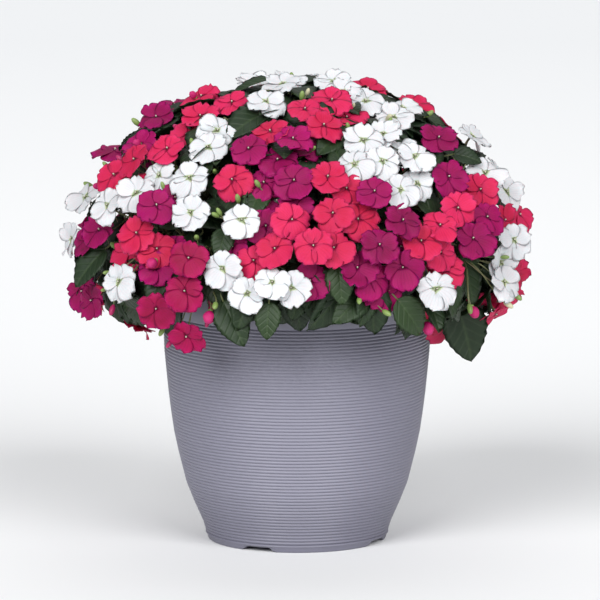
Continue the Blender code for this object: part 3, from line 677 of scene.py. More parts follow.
def plan():
    """Every bloom, branch and leaf of the planting, placed clear of one another."""
    chance = random.Random(SEED)
    space = Space()
    space.add(pot_room(), "pot", "pot")
    plants = plan_plants()
    for plant in plants:
        space.add(stem_solid(plant), "stem", plant["name"])
    sprays = [(colour, [seen_at(*spot) for spot in spots])
              for colour, groups in FRONT_SPRAYS.items() for spots in groups]
    front = [place for colour, places in sprays for place in places]
    sprays += group_back(back_places(front, chance))
    counts = {colour: 0 for colour in BACK_COLOURS}
    load = {plant["name"]: 0 for plant in plants}
    hubs, blooms, branches, leaves = [], [], [], []
    for colour, places in sprays:
        counts[colour] += 1
        sway = chance.uniform(-0.4, 1.0) * SPRAY_SWAY
        places = [place - dome_normal(place) * sway for place in places]
        hubs.append({"name": f"{colour}_spray_{counts[colour]:02d}", "colour": colour,
                     "places": places, **hub_for(places)})
    for hub in hubs:
        space.add(hub_solid(hub), "hub", hub["name"])
    for hub in sorted(hubs, key=lambda item: -item["base"].xy.length):
        turn, reach = hub["base"].xy.normalized(), min(1, hub["base"].xy.length / 0.12)
        own = sorted((plant for plant in plants if plant["colour"] == hub["colour"]),
                     key=lambda plant: load[plant["name"]] * 0.12
                     - turn.dot(plant["foot"].xy.normalized()) * reach)
        for plant in own:
            branch = plan_branch(space, plant, hub, chance)
            if branch:
                load[plant["name"]] += 1
                branches.append(branch)
                break
        else:
            print("no room for the branch of", hub["name"])

    def add_leaf(place, normal, length, depths):
        leaf = plan_leaf(space, place, normal, length, branches, chance, depths)
        if leaf:
            leaves.append(leaf)
        return leaf

    def front_leaf(across, down, size, depths):
        place = seen_at(across, down)
        if not add_leaf(place, dome_normal(place) + VIEW_TOWARD * LEAF_LEAN,
                        size * VIEW_STEP * 1.05, depths):
            print("no room for the leaf at", across, down)

    for spot in sorted(FRONT_LEAVES, key=lambda spot: -spot[2]):
        if spot[2] >= LARGE_LEAF:
            front_leaf(*spot, (0.004, 0.02))
    for hub in hubs:
        for place in hub["places"]:
            bloom = place_bloom(space, hub, place, chance)
            if bloom:
                blooms.append(bloom)
            else:
                print("no room for a bloom of", hub["name"])
    for spot in FRONT_LEAVES:
        if spot[2] < LARGE_LEAF:
            front_leaf(*spot, (-0.004, 0.036))
    tries = 0
    while len(leaves) < len(FRONT_LEAVES) + BACK_LEAVES and tries < BACK_LEAF_TRIES:
        tries += 1
        place = dome_point(chance.uniform(0, math.tau), chance.uniform(-0.8, 0.9))
        if place.z >= LOW_LEAF and seen_at_back(place) >= 0:
            add_leaf(place, dome_normal(place), chance.uniform(0.046, 0.062), (0.006, 0.034))
    return plants, hubs, branches, blooms, leaves


def hub_solid(hub):
    """The short thick stub that a spray's stalks grow from."""
    side = hub["axis"].cross(Vector((0.2, 0.1, 1))).normalized()
    rise = hub["axis"].cross(side)
    return loft([ring_about(hub["base"] + hub["axis"] * t, side, rise, HUB_RADIUS, HUB_SIDES)
                 for t in (0, HUB_LENGTH)])


def outline_radius(height):
    """Outer radius of the pot's ribbed part at a height."""
    for (low_r, low_z), (high_r, high_z) in zip(POT_OUTLINE, POT_OUTLINE[1:]):
        if height <= high_z:
            return low_r + (high_r - low_r) * (height - low_z) / (high_z - low_z)
    return POT_OUTLINE[-1][0]


def maths(operation, swap=False, clamp=False):
    """A method of Sum that makes one maths node."""
    def made(self, other=0.0):
        node = self.net.tree.nodes.new("ShaderNodeMath")
        node.operation = operation
        node.use_clamp = clamp
        for index, value in enumerate((other, self) if swap else (self, other)):
            self.net.put(node.inputs[index], value)
        return Sum(self.net, node.outputs[0])
    return made


class Sum:
    """A number carried by a socket, so that shader maths reads as arithmetic."""

    def __init__(self, net, socket):
        self.net = net
        self.socket = socket

    __add__, __radd__ = maths("ADD"), maths("ADD", True)
    __sub__, __rsub__ = maths("SUBTRACT"), maths("SUBTRACT", True)
    __mul__, __rmul__ = maths("MULTIPLY"), maths("MULTIPLY", True)
    __pow__, __rpow__ = maths("POWER"), maths("POWER", True)
    clamped = maths("ADD", clamp=True)
    wave = maths("SINE")
    size = maths("ABSOLUTE")


class Net:
    """Makes the nodes of one material."""

    def __init__(self, name):
        self.material = bpy.data.materials.new(name)
        self.material.use_nodes = True
        self.tree = self.material.node_tree
        self.shader = self.tree.nodes["Principled BSDF"]

    def put(self, socket, value):
        if isinstance(value, (Sum, bpy.types.NodeSocket)):
            self.tree.links.new(getattr(value, "socket", value), socket)
        else:
            socket.default_value = (*value, 1.0) if socket.type == "RGBA" else value

    def node(self, kind, settings=None, values=None):
        made = self.tree.nodes.new(kind)
        for name, value in (settings or {}).items():
            setattr(made, name, value)
        for name, value in (values or {}).items():
            self.put(made.inputs[name], value)
        return made

    def attribute(self, name):
        node = self.node("ShaderNodeAttribute", {"attribute_name": name})
        return Sum(self, node.outputs["Fac"])

    def place(self):
        return self.node("ShaderNodeTexCoord").outputs["Object"]

    def part(self, name):
        node = self.node("ShaderNodeSeparateXYZ", None, {"Vector": self.place()})
        return Sum(self, node.outputs[name])

    def noise(self, scale, detail=3.0, rough=0.5, vector=None):
        node = self.node("ShaderNodeTexNoise", None,
                         {"Vector": vector or self.place(), "Scale": scale, "Detail": detail,
                          "Roughness": rough})
        return Sum(self, node.outputs["Fac"])

    def mix(self, factor, first, second):
        node = self.node("ShaderNodeMix", {"data_type": "RGBA"})
        for index, value in ((0, factor), (6, first), (7, second)):
            self.put(node.inputs[index], value)
        return node.outputs[2]

    def bump(self, height, strength, distance):
        node = self.node("ShaderNodeBump", None, {"Height": height, "Strength": strength,
                                                  "Distance": distance})
        self.put(self.shader.inputs["Normal"], node.outputs["Normal"])

    def set(self, **values):
        for name, value in values.items():
            self.put(self.shader.inputs[name.replace("_", " ")], value)
        return self.material


def petal_material(name, deep, full, pale, eye, spread=PETAL_SPREAD):
    """Velvety petal colour that changes along the petal, paler towards its tip, with fine veins and
    pale flecks.
    """
    net = Net(name)
    along = net.attribute("along")
    across = net.attribute("across")
    soft = net.noise(55.0, 2.0)
    veins = ((across * 26.0 + soft * 2.0).wave() * 0.5 + 0.5) ** 3.0
    base = net.mix((net.attribute("tone") * spread).clamped(), full, deep)
    base = net.mix((((along - 0.55) * 1.5).clamped()) * 0.55, base, pale)
    base = net.mix((veins * (1.05 - along) * 0.32).clamped(), base, deep)
    base = net.mix(((soft - 0.35) * 0.55).clamped(), base, pale)
    base = net.mix((((0.17 - along) * 14.0).clamped()), base, eye)
    net.bump(veins * 0.5 + net.noise(260.0, 2.0) * 0.6, 0.35, 0.0006)
    return net.set(Base_Color=base, Roughness=0.62, Specular_IOR_Level=0.2,
                   Subsurface_Weight=0.25, Subsurface_Radius=(0.004, 0.002, 0.002),
                   Subsurface_Scale=0.6)


def leaf_material():
    """Dark green with a paler midrib, fine side veins and quilted ground."""
    net = Net("busy lizzie leaf")
    along = net.attribute("along")
    across = net.attribute("across").size()
    place = net.noise(38.0, 3.0)
    rib = ((0.10 - across) * 10.0).clamped()
    side = (((along * 34.0) - (across * 13.0)).wave() * 0.5 + 0.5) ** 6.0
    base = net.mix(net.attribute("tone"), (0.009, 0.021, 0.008), (0.022, 0.045, 0.013))
    base = net.mix((place - 0.3).clamped() * 0.7, base, (0.018, 0.036, 0.020))
    base = net.mix((rib * 0.34 + side * 0.13).clamped(), base, (0.055, 0.090, 0.035))
    net.bump(rib * -0.7 - side * 0.6 + net.noise(150.0, 3.0) * 0.4, 0.6, 0.0012)
    return net.set(Base_Color=base, Roughness=0.38 + place * 0.22, Specular_IOR_Level=0.32)


def stem_material():
    """Fleshy green that turns reddish with the tone of the stalk."""
    net = Net("busy lizzie stem")
    soft = net.noise(60.0, 3.0)
    base = net.mix(soft, (0.10, 0.17, 0.045), (0.17, 0.20, 0.08))
    base = net.mix((net.attribute("tone") * 0.7).clamped(), base, (0.20, 0.07, 0.06))
    net.bump(soft, 0.2, 0.0006)
    return net.set(Base_Color=base, Roughness=0.42)


def pot_material(colour):
    """Satin lilac grey resin with faint mottling and streaks round the turned ribs, and painted
    shade that darkens it towards its foot.
    """
    net = Net("lilac grey resin")
    stretched = net.node("ShaderNodeMapping", None, {"Vector": net.place(),
                                                     "Scale": (4.0, 4.0, 300.0)})
    streak = net.noise(1.0, 3.0, 0.6, stretched.outputs["Vector"])
    base = net.mix(net.noise(9.0, 4.0, 0.55), (0.192, 0.189, 0.243), colour)
    base = net.mix((streak - 0.4).clamped() * 0.5, base, (0.26, 0.256, 0.312))
    # Painted shade: below 85 mm the resin is painted darker towards the foot
    base = net.mix(((0.085 - net.part("Z")) * 12.0).clamped() * 0.5, base, (0.105, 0.103, 0.140))
    net.bump(net.noise(420.0, 2.0) * 0.5 + streak, 0.12, 0.0005)
    return net.set(Base_Color=base, Roughness=0.40 + streak * 0.16, Specular_IOR_Level=0.45)


def soil_material():
    """Dark compost with a few paler crumbs."""
    net = Net("potting compost")
    coarse = net.noise(90.0, 6.0, 0.65)
    fine = net.noise(420.0, 4.0)
    base = net.mix(coarse, (0.012, 0.008, 0.005), (0.055, 0.036, 0.022))
    base = net.mix(((fine - 0.62) * 5.0).clamped(), base, (0.14, 0.10, 0.065))
    net.bump(coarse + fine * 0.5, 0.9, 0.004)
    return net.set(Base_Color=base, Roughness=0.95)


def plain_material(name, colour, rough):
    """One even colour."""
    return Net(name).set(Base_Color=colour, Roughness=rough)


class Piece:
    """Gathers the corners, faces and shading values of one visual piece."""

    def __init__(self):
        self.verts = []
        self.faces = []
        self.looks = []
        self.marks = []

    def add(self, verts, faces, marks=None, look=0, tone=0.5):
        start = len(self.verts)
        self.verts.extend(verts)
        self.faces.extend(tuple(start + index for index in face) for face in faces)
        self.looks.extend([look] * len(faces))
        self.marks.extend(marks or [(0.5, 0.0, tone)] * len(verts))

    def finish(self, name, materials, node, slot):
        mesh = bpy.data.meshes.new(name)
        mesh.from_pydata([tuple(vert) for vert in self.verts], [], self.faces)
        for index, label in enumerate(("along", "across", "tone")):
            layer = mesh.attributes.new(label, "FLOAT", "POINT")
            layer.data.foreach_set("value", [mark[index] for mark in self.marks])
        mesh.polygons.foreach_set("material_index", self.looks)
        for look in materials:
            mesh.materials.append(look)
        mesh.shade_smooth()
        mesh.update()
        piece = bpy.data.objects.new(name, mesh)
        bpy.context.scene.collection.objects.link(piece)
        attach(piece, "root")
        if node:
            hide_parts(node)
        return piece


def add_sheet(piece, rows, columns, top, under, marks):
    """Add a thin closed sheet: two grids of corners that share their outer edge."""
    faces = []
    edge = {}
    count = rows * columns
    for row in range(rows):
        for column in range(columns):
            here = row * columns + column
            outer = row in (0, rows - 1) or column in (0, columns - 1)
            edge[here] = here if outer else here + count
    for row in range(rows - 1):
        for column in range(columns - 1):
            a = row * columns + column
            quad = (a, a + 1, a + columns + 1, a + columns)
            faces.append(quad)
            faces.append(tuple(edge[index] for index in reversed(quad)))
    used = sorted({index for face in faces for index in face})
    where = {index: spot for spot, index in enumerate(used)}
    corners, marks = top + under, marks + marks
    piece.add([corners[index] for index in used],
              [tuple(where[index] for index in face) for face in faces],
              [marks[index] for index in used])


def petal(piece, bloom, turn, reach, wide, tone, chance):
    """One heart shaped petal on a narrow claw, with a soft fold and a ruffled edge."""
    middle, axis, side = bloom["middle"], bloom["axis"], bloom["side"]
    rise = axis.cross(side)
    ahead = side * math.cos(turn) + rise * math.sin(turn)
    across = axis.cross(ahead)
    size = bloom["radius"] * reach
    curl = chance.uniform(-0.34, 0.10)
    lift = chance.uniform(-0.05, 0.15)
    twist = chance.uniform(-0.10, 0.16)
    ripple = chance.uniform(0, math.tau)
    ruffle = chance.uniform(0.02, 0.075)
    wide = wide * chance.uniform(0.92, 1.08)
    notch = chance.uniform(0.06, 0.20)
    top, under, marks = [], [], []
    for row in range(PETAL_ROWS):
        t = 0.04 + 0.96 * row / (PETAL_ROWS - 1)
        for column in range(PETAL_COLUMNS):
            s = 2 * column / (PETAL_COLUMNS - 1) - 1
            half = size * wide * 0.53 * math.sin(0.12 + 2.66 * t ** 1.3) ** 0.62
            length = size * t * (1 - 0.16 * abs(s) ** 2.2 * t - notch * math.exp(-(s / 0.30) ** 2)
                                 * t ** 4)
            level = -0.05 + 0.09 * t + lift * t + curl * t ** 2.4 + twist * s * t
            level += ruffle * math.sin(ripple + 5.0 * s + 3.0 * t) * t * t
            level += 0.5 * ruffle * math.sin(2 * ripple + 11.0 * s) * t ** 4
            level -= 0.07 * math.exp(-(s / 0.20) ** 2) * t * (1.15 - t)
            level += 0.02 * abs(s) ** 3 * t
            point = middle + ahead * length + across * s * half + axis * size * level
            thick = 0.00032 * (1 - 0.5 * t)
            top.append(point + axis * thick)
            under.append(point - axis * thick)
            marks.append((t, s, tone))
    add_sheet(piece, PETAL_ROWS, PETAL_COLUMNS, top, under, marks)


def tube_piece(piece, path, radii, sides, tone, look=0):
    """A smooth closed tube along a path."""
    verts, faces = loft(tube(path, radii, sides, TUBE_SIDE))
    piece.add(verts, faces, None, look, tone)


def ball(piece, middle, axis, long, wide, tone, look, rings=4, sides=7):
    """A bud or an eye: an egg along its axis."""
    side = axis.orthogonal().normalized()
    rise = axis.cross(side)
    rows = [[middle - axis * long]]
    for ring in range(1, rings):
        turn = math.pi * ring / rings
        rows.append(ring_about(middle - axis * math.cos(turn) * long, side, rise,
                               wide * math.sin(turn), sides))
    rows.append([middle + axis * long])
    verts, faces = [], []
    ids = []
    for row in rows:
        ids.append(list(range(len(verts), len(verts) + len(row))))
        verts.extend(row)
    for low, high in zip(ids, ids[1:]):
        if len(low) == 1:
            faces.extend((low[0], high[(k + 1) % len(high)], high[k]) for k in range(len(high)))
        elif len(high) == 1:
            faces.extend((low[k], low[(k + 1) % len(low)], high[0]) for k in range(len(low)))
        else:
            faces.extend((low[k], low[(k + 1) % len(low)], high[(k + 1) % len(low)], high[k])
                         for k in range(len(low)))
    piece.add(verts, faces, None, look, tone)


def fine_leaf(piece, leaf, tone, chance, rows, columns):
    """A pointed leaf with scalloped edges, a sunken midrib and quilted sides."""
    tip, side, normal = leaf["tip"], leaf["side"], leaf["normal"]
    length, half = leaf["length"] * 1.04, leaf["half"] * 1.25
    heel = leaf["middle"] - tip * length * 0.5
    swing = chance.uniform(-0.05, 0.05)
    top, under, marks = [], [], []
    for row in range(rows):
        t = row / (rows - 1)
        broad = max(0.0, math.sin(math.pi * min(1.0, t ** 0.80)) ** 0.66 * (1 - 0.22 * t))
        broad = broad if 0 < row < rows - 1 else 0.012
        scallop = 1 + 0.030 * math.cos(math.pi * row)
        for column in range(columns):
            s = 2 * column / (columns - 1) - 1
            edge = abs(s) ** 6
            reach = half * broad * s * (1 + (scallop - 1) * edge)
            level = length * 0.22 * (t - t * t * 1.35) + half * 0.16 * abs(s) * broad
            level -= half * 0.05 * (1 - abs(s)) ** 4
            level += half * 0.06 * math.sin(9.0 * t + 5.0 * abs(s)) * (abs(s) - s * s)
            level += half * 0.02 * math.cos(math.pi * row) * edge
            level += swing * length * s * t
            point = heel + tip * t * length + side * reach + normal * level
            top.append(point + normal * 0.0003)
            under.append(point - normal * 0.0003)
            marks.append((t, s * broad, tone))
    add_sheet(piece, rows, columns, top, under, marks)
    tube_piece(piece, leaf_stalk(leaf, heel, heel + tip * 0.002, 5), [0.0011] * 6, 5, 0.25, 1)


def bloom_roll(bloom):
    """Turn of a bloom's upright direction from the side that its layout gives."""
    axis, side = bloom["axis"], bloom["side"]
    up = UP - axis * axis.z
    if up.length < 0.2:
        up = Vector((bloom["middle"].x, bloom["middle"].y, 0)) * -1
        up -= axis * up.dot(axis)
    return math.atan2(up.dot(axis.cross(side)), up.dot(side)) - math.radians(90)


def make_blooms(values):
    """Petals and stalks of every spray."""
    chance = random.Random(SEED + 1)
    looks = {name: petal_material(f"{name} petal", deep, tuple(getattr(values, name)), pale, eye,
                                  spread)
             for name, (deep, pale, eye, spread) in PETAL_TONES.items()}
    eye = plain_material("bloom eye", (0.55, 0.52, 0.42), 0.5)
    stem = stem_material()
    _, hubs, _, blooms, _ = planting()
    for hub in hubs:
        petals, stalks = Piece(), Piece()
        for bloom in blooms:
            if bloom["spray"] != hub["name"]:
                continue
            tone = chance.random()
            first = bloom_roll(bloom) + chance.gauss(0.0, 0.28)
            for turn, reach, wide in PETALS:
                turn = math.radians(turn) + first + chance.uniform(-0.09, 0.09)
                petal(petals, bloom, turn, reach * chance.uniform(1.00, 1.16), wide,
                      tone + chance.uniform(-0.12, 0.12), chance)
            middle, axis, side = bloom["middle"], bloom["axis"], bloom["side"]
            ball(petals, middle + axis * 0.0002, axis, 0.0013, 0.0010, 0.5, 1)
            tube_piece(stalks, stalk_path(hub, bloom, 8), [0.0009] * 7 + [0.0011, 0.0016], 6,
                       chance.uniform(0.2, 0.8))
            neck = [middle - axis * d for d in (0.0050, 0.0032, 0.0014)]
            tube_piece(stalks, neck, [0.0016, 0.0026, 0.0018], 7, 0.3)
            drop = (-UP - axis * 0.3 + side * chance.uniform(-0.4, 0.4)).normalized()
            spur = curve(middle - axis * 0.003, middle - axis * 0.010, middle - axis * 0.012
                         + drop * 0.008, middle - axis * 0.010 + drop * 0.017, 5)
            tube_piece(stalks, spur, [0.0011, 0.0009, 0.0008, 0.0007, 0.0006, 0.0004], 5, 0.9)
        end = hub["base"] + hub["axis"] * HUB_LENGTH
        tube_piece(stalks, [hub["base"], hub["base"].lerp(end, 0.5), end],
                   [0.0030, 0.0031, 0.0021], 10, 0.2)
        look = looks["rose" if hub["name"] in ROSE_SPRAYS else hub["colour"]]
        petals.finish(hub["name"] + "_petals", [look, eye], hub["name"], hub["colour"])
        stalks.finish(hub["name"] + "_stalks", [stem], hub["name"], "leaf")


def inner_leaves(branches, count, chance):
    """Places of smaller leaves that fill the shade between and behind the blooms."""
    made = []
    while len(made) < count:
        turn = chance.uniform(0, math.tau)
        crown = chance.random() < 0.22
        rise = chance.uniform(0.70, 0.99) if crown else chance.uniform(-0.78, 0.97)
        deep = chance.uniform(0.86, 0.95) if crown else chance.uniform(0.74, 0.93)
        place = dome_point(turn, rise, deep)
        if place.z < 0.36 and place.xy.length < 0.195:
            continue
        if place.z < (0.31 if abs(place.x) < 0.12 else 0.295):
            continue
        normal = (dome_normal(place) + UP * INNER_UP + scatter(chance, 0.45)).normalized()
        reach, root, owner = nearest_root(place, branches)
        if reach > 0.15:
            continue
        tip = (place - root).normalized() + scatter(chance, 0.5)
        tip = tip + Vector((place.x, place.y, 0)).normalized() * 0.4
        tip = (tip - normal * tip.dot(normal)).normalized()
        length = chance.uniform(0.042, 0.070)
        made.append({"middle": place, "normal": normal, "tip": tip, "side": tip.cross(normal),
                     "length": length, "half": length * 0.29, "root": root, "plant": owner})
    return made


def make_leaves(values):
    """Stems, branches and leaves of the twelve plants."""
    chance = random.Random(SEED + 2)
    plants, _, branches, _, leaves = planting()
    extra = inner_leaves(branches, values.inner_leaves, chance)
    green, stem = leaf_material(), stem_material()
    for plant in plants:
        piece = Piece()
        for group, low, high, rows, columns in ((leaves, 0.1, 1.0, 17, 9),
                                                (extra, 0.0, 0.6, 12, 7)):
            for leaf in group:
                if leaf["plant"] == plant["name"]:
                    fine_leaf(piece, leaf, chance.uniform(low, high), chance, rows, columns)
        stem_rings = ((SOIL_TOP - 0.02, 0.0054), (SOIL_TOP, 0.0054), (SOIL_TOP + 0.014, 0.0052),
                      (SOIL_TOP + 0.05, 0.0050), (FORK_HEIGHT - 0.01, 0.0052),
                      (FORK_HEIGHT + 0.02, 0.0044), (FORK_HEIGHT + 0.036, 0.0030))
        tube_piece(piece, [plant["axis_at"](height) for height, _ in stem_rings],
                   [radius for _, radius in stem_rings], 12, 0.35, 1)
        for branch in branches:
            if branch["plant"] == plant["name"]:
                tube_piece(piece, smooth_path(branch["path"], 4),
                           ease(branch["radii"], 4), 8, chance.uniform(0.1, 0.5), 1)
        piece.finish(plant["name"] + "_fine", [green, stem], plant["name"], "leaf")


def smooth_path(path, parts):
    """More points along a smooth line through the given ones."""
    points = []
    for index in range(len(path) - 1):
        before = path[max(index - 1, 0)]
        after = path[min(index + 2, len(path) - 1)]
        start, end = path[index], path[index + 1]
        for step in range(parts):
            t = step / parts
            points.append(0.5 * (2 * start + (end - before) * t
                                 + (2 * before - 5 * start + 4 * end - after) * t * t
                                 + (3 * start - before - 3 * end + after) * t ** 3))
    return points + [path[-1]]


def ease(radii, parts):
    """The radii along a smooth path, a little thinner than the solid's."""
    values = []
    for low, high in zip(radii, radii[1:]):
        values.extend(low + (high - low) * step / parts for step in range(parts))
    return [value * 0.9 for value in values] + [radii[-1] * 0.9]


def opening_bud(piece, middle, axis, size, look):
    """A bloom about to open: a plump bud of petals wound round one another."""
    side = axis.orthogonal().normalized()
    rise = axis.cross(side)
    rows, sides = 11, 20
    rings = []
    for row in range(rows):
        t = row / (rows - 1)
        wide = size * 0.62 * math.sin(math.pi * (0.06 + 0.86 * t)) ** 0.7
        ring = []
        for step in range(sides):
            angle = math.tau * step / sides
            fold = ((step / sides * 4 + t * 1.1) % 1.0 - 0.5) * 0.26 * t
            reach = wide * (1 + fold)
            ring.append(middle + axis * size * (2 * t - 1) * 0.75
                        + (side * math.cos(angle) + rise * math.sin(angle)) * reach)
        rings.append(ring)
    verts, faces = loft(rings)
    marks = [(0.45 + 0.5 * min(1, index / len(verts)), 0.2, 0.4) for index in range(len(verts))]
    piece.add(verts, faces, marks, look)


def nearest_hub(hubs, spot):
    """The spray whose stalks meet nearest to a bud."""
    return min(hubs, key=lambda item: (item["root"] - spot).length)


def bud_stalk(hub, spot, axis, drop, join, parts):
    """The line of a bud's stalk, which meets the bud join behind its middle."""
    root = hub["root"]
    span = (spot - root).length
    return curve(root, root + hub["axis"] * span * 0.4, spot - axis * (span * 0.3 + drop),
                 spot - axis * join, parts)


def make_buds(values):
    """Small buds and opening blooms between the open ones."""
    chance = random.Random(SEED + 3)
    _, hubs, _, blooms, _ = planting()
    green = plain_material("green bud", (0.19, 0.28, 0.075), 0.45)
    pink = plain_material("pink bud", (0.42, 0.015, 0.11), 0.5)
    cream = plain_material("cream bud", (0.52, 0.50, 0.33), 0.5)
    stem = stem_material()
    piece = Piece()
    spots = [seen_at(*spot) for spot in FRONT_BUDS]
    while len(spots) < values.buds:
        bloom = blooms[chance.randrange(len(blooms))]
        middle, axis, side = bloom["middle"], bloom["axis"], bloom["side"]
        turn = chance.uniform(0, math.tau)
        reach = BLOOM_RADIUS * chance.uniform(1.2, 1.5)
        away = side * math.cos(turn) + axis.cross(side) * math.sin(turn)
        spot = middle + away * reach - axis * 0.006
        if min((spot - other["middle"]).length for other in blooms) > BLOOM_RADIUS * 1.05:
            spots.append(spot)
    for spot in spots:
        hub = nearest_hub(hubs, spot)
        out = (spot - hub["root"]).normalized()
        axis = (out + dome_normal(spot) * 0.6 + scatter(chance, 0.4)).normalized()
        spot = spot - dome_normal(spot) * 0.004
        length = chance.uniform(0.0045, 0.0075)
        kind = chance.choice((1, 1, 2 if hub["colour"] != "white" else 3))
        ball(piece, spot, axis, length, length * 0.48, 0.5, kind, 6, 9)
        tube_piece(piece, bud_stalk(hub, spot, axis, length, length * 0.9, 7), [0.0008] * 8, 5,
                   0.3)
    for across, down, size in FRONT_OPENING:
        spot = seen_at(across, down)
        hub = nearest_hub(hubs, spot)
        axis = (dome_normal(spot) + VIEW_TOWARD * 0.4 - UP * 0.5).normalized()
        length = size * VIEW_STEP * 0.5
        opening_bud(piece, spot, axis, length, 4)
        back = spot - axis * length * 0.75
        ball(piece, back, axis, length * 0.28, length * 0.36, 0.3, 1, 6, 9)
        tube_piece(piece, bud_stalk(hub, back, axis, 0.0, 0.0, 8), [0.0010] * 9, 6, 0.4)
    rose = petal_material("opening petal", (0.24, 0.001, 0.05), (0.42, 0.003, 0.11),
                          (0.62, 0.06, 0.22), (0.24, 0.001, 0.07))
    piece.finish("buds", [stem, green, pink, cream, rose], None, "leaf")


def make_pot(values):
    """The ribbed pot, turned with all its fine ribs, and its four foot notches."""
    steps = values.pot_sides
    pitch = (RIB_TOP - FOOT_TOP) / values.ribs
    inside = LIP_RADIUS - 0.0045
    rows = [(inside - 0.0006, 0.306), (inside, POT_HEIGHT - 0.0045),
            (inside + 0.0007, POT_HEIGHT - 0.0012), (inside + 0.002, POT_HEIGHT),
            (LIP_RADIUS - 0.0022, POT_HEIGHT), (LIP_RADIUS - 0.0008, POT_HEIGHT - 0.0008),
            (LIP_RADIUS, POT_HEIGHT - 0.0028), (LIP_RADIUS + 0.0001, 0.334),
            (LIP_RADIUS, BAND_TOP + 0.0016), (LIP_RADIUS + 0.0002, BAND_TOP + 0.0006),
            (BAND_RADIUS - 0.0006, BAND_TOP + 0.0002), (BAND_RADIUS, BAND_TOP - 0.0008),
            (BAND_RADIUS + 0.0001, 0.305), (BAND_RADIUS, 0.290),
            (BAND_RADIUS - 0.0002, RIB_TOP + 0.0016), (BAND_RADIUS - 0.0008, RIB_TOP + 0.0004)]
    for rib in range(values.ribs):
        top = RIB_TOP - rib * pitch
        for part, depth in ((0.0, -0.0011), (0.14, -0.0007), (0.34, 0.0001), (0.55, 0.0004),
                            (0.78, 0.0001), (0.93, -0.0006)):
            height = top - pitch * part
            rows.append((outline_radius(height) + depth, height))
    foot = outline_radius(FOOT_TOP)
    rows += [(foot - 0.0010, FOOT_TOP), (foot + 0.0002, FOOT_TOP - 0.0008),
             (foot + 0.0006, FOOT_TOP - 0.002), (0.1078, NOTCH_HEIGHT), (0.1070, 0.0022),
             (0.1064, 0.0006), (0.1055, 0.0), (0.099, 0.0), (0.092, 0.0)]
    verts, faces = [], []
    for radius, height in rows:
        for step in range(steps):
            verts.append(around(radius, math.tau * step / steps, height))
    for row in range(len(rows) - 1):
        for step in range(steps):
            after = (step + 1) % steps
            faces.append((row * steps + after, row * steps + step, (row + 1) * steps + step,
                          (row + 1) * steps + after))
    last = (len(rows) - 1) * steps
    faces.append(tuple(last + step for step in reversed(range(steps))))
    for vert in verts:
        if vert.z < NOTCH_HEIGHT + 0.0001 and vert.xy.length > 0.08:
            vert.z = max(vert.z, notch_lift(math.atan2(vert.y, vert.x)))
    piece = Piece()
    piece.add(verts, faces)
    made = piece.finish("pot_fine", [pot_material(tuple(values.pot))], "pot", "pot")
    made.data.set_sharp_from_angle(angle=math.radians(50))


def notch_lift(angle):
    """How far the foot's lower edge is raised at an angle round the pot."""
    for index in range(4):
        middle = NOTCH_FIRST + math.radians(90) * index
        off = abs((angle - middle + math.pi) % math.tau - math.pi)
        if off < NOTCH_HALF:
            return NOTCH_HEIGHT * min(1.0, (NOTCH_HALF - off) / (NOTCH_HALF * 0.2))
    return 0.0


def make_soil():
    """Loose compost: a crumbly disc over the frame's plug."""
    steps, rings = 96, 26
    radius = outline_radius(SOIL_TOP) - POT_WALL - RIB_DEPTH - 0.001
    verts, faces = [], []
    for ring in range(rings + 1):
        for step in range(steps if ring else 1):
            point = around(radius * ring / rings, math.tau * step / steps)
            crumb = noise.fractal(point * 55.0, 0.8, 2.2, 4)
            point.z = SOIL_TOP + 0.0016 + 0.0030 * crumb * (1 - (ring / rings) ** 6)
            verts.append(point)
    for step in range(steps):
        faces.append((0, 1 + step, 1 + (step + 1) % steps))
    for ring in range(1, rings):
        low, high = 1 + (ring - 1) * steps, 1 + ring * steps
        for step in range(steps):
            after = (step + 1) % steps
            faces.append((low + step, high + step, high + after, low + after))
    piece = Piece()
    piece.add(verts, faces)
    chance = random.Random(SEED + 4)
    for _ in range(CRUMBS):
        turn, reach = chance.uniform(0, math.tau), radius * 0.97 * math.sqrt(chance.random())
        size = chance.uniform(0.0008, 0.0030)
        place = around(reach, turn, SOIL_TOP + 0.001 + size * 0.4)
        axis = scatter(chance).normalized()
        ball(piece, place, axis, size, size * chance.uniform(0.5, 0.9), 0.5, 0, 3, 5)
    piece.finish("soil_crumbs", [soil_material()], None, "soil")
    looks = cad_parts["soil"].data.materials
    looks.clear()
    looks.append(soil_material())


def floor_material():
    """Plain pale floor, with painted shade that darkens it a little far from the pot."""
    net = Net("studio floor")
    far = (net.part("X") ** 2.0 + net.part("Y") ** 2.0) ** 0.5
    # Painted shade: beyond 2.3 m from the pot the floor is painted darker, standing in for light
    # that weakens far off
    base = net.mix(((far - 2.3) * 0.4).clamped(), FLOOR_NEAR, FLOOR_PAINTED_DIM)
    return net.set(Base_Color=base, Roughness=0.9, Specular_IOR_Level=0.2)


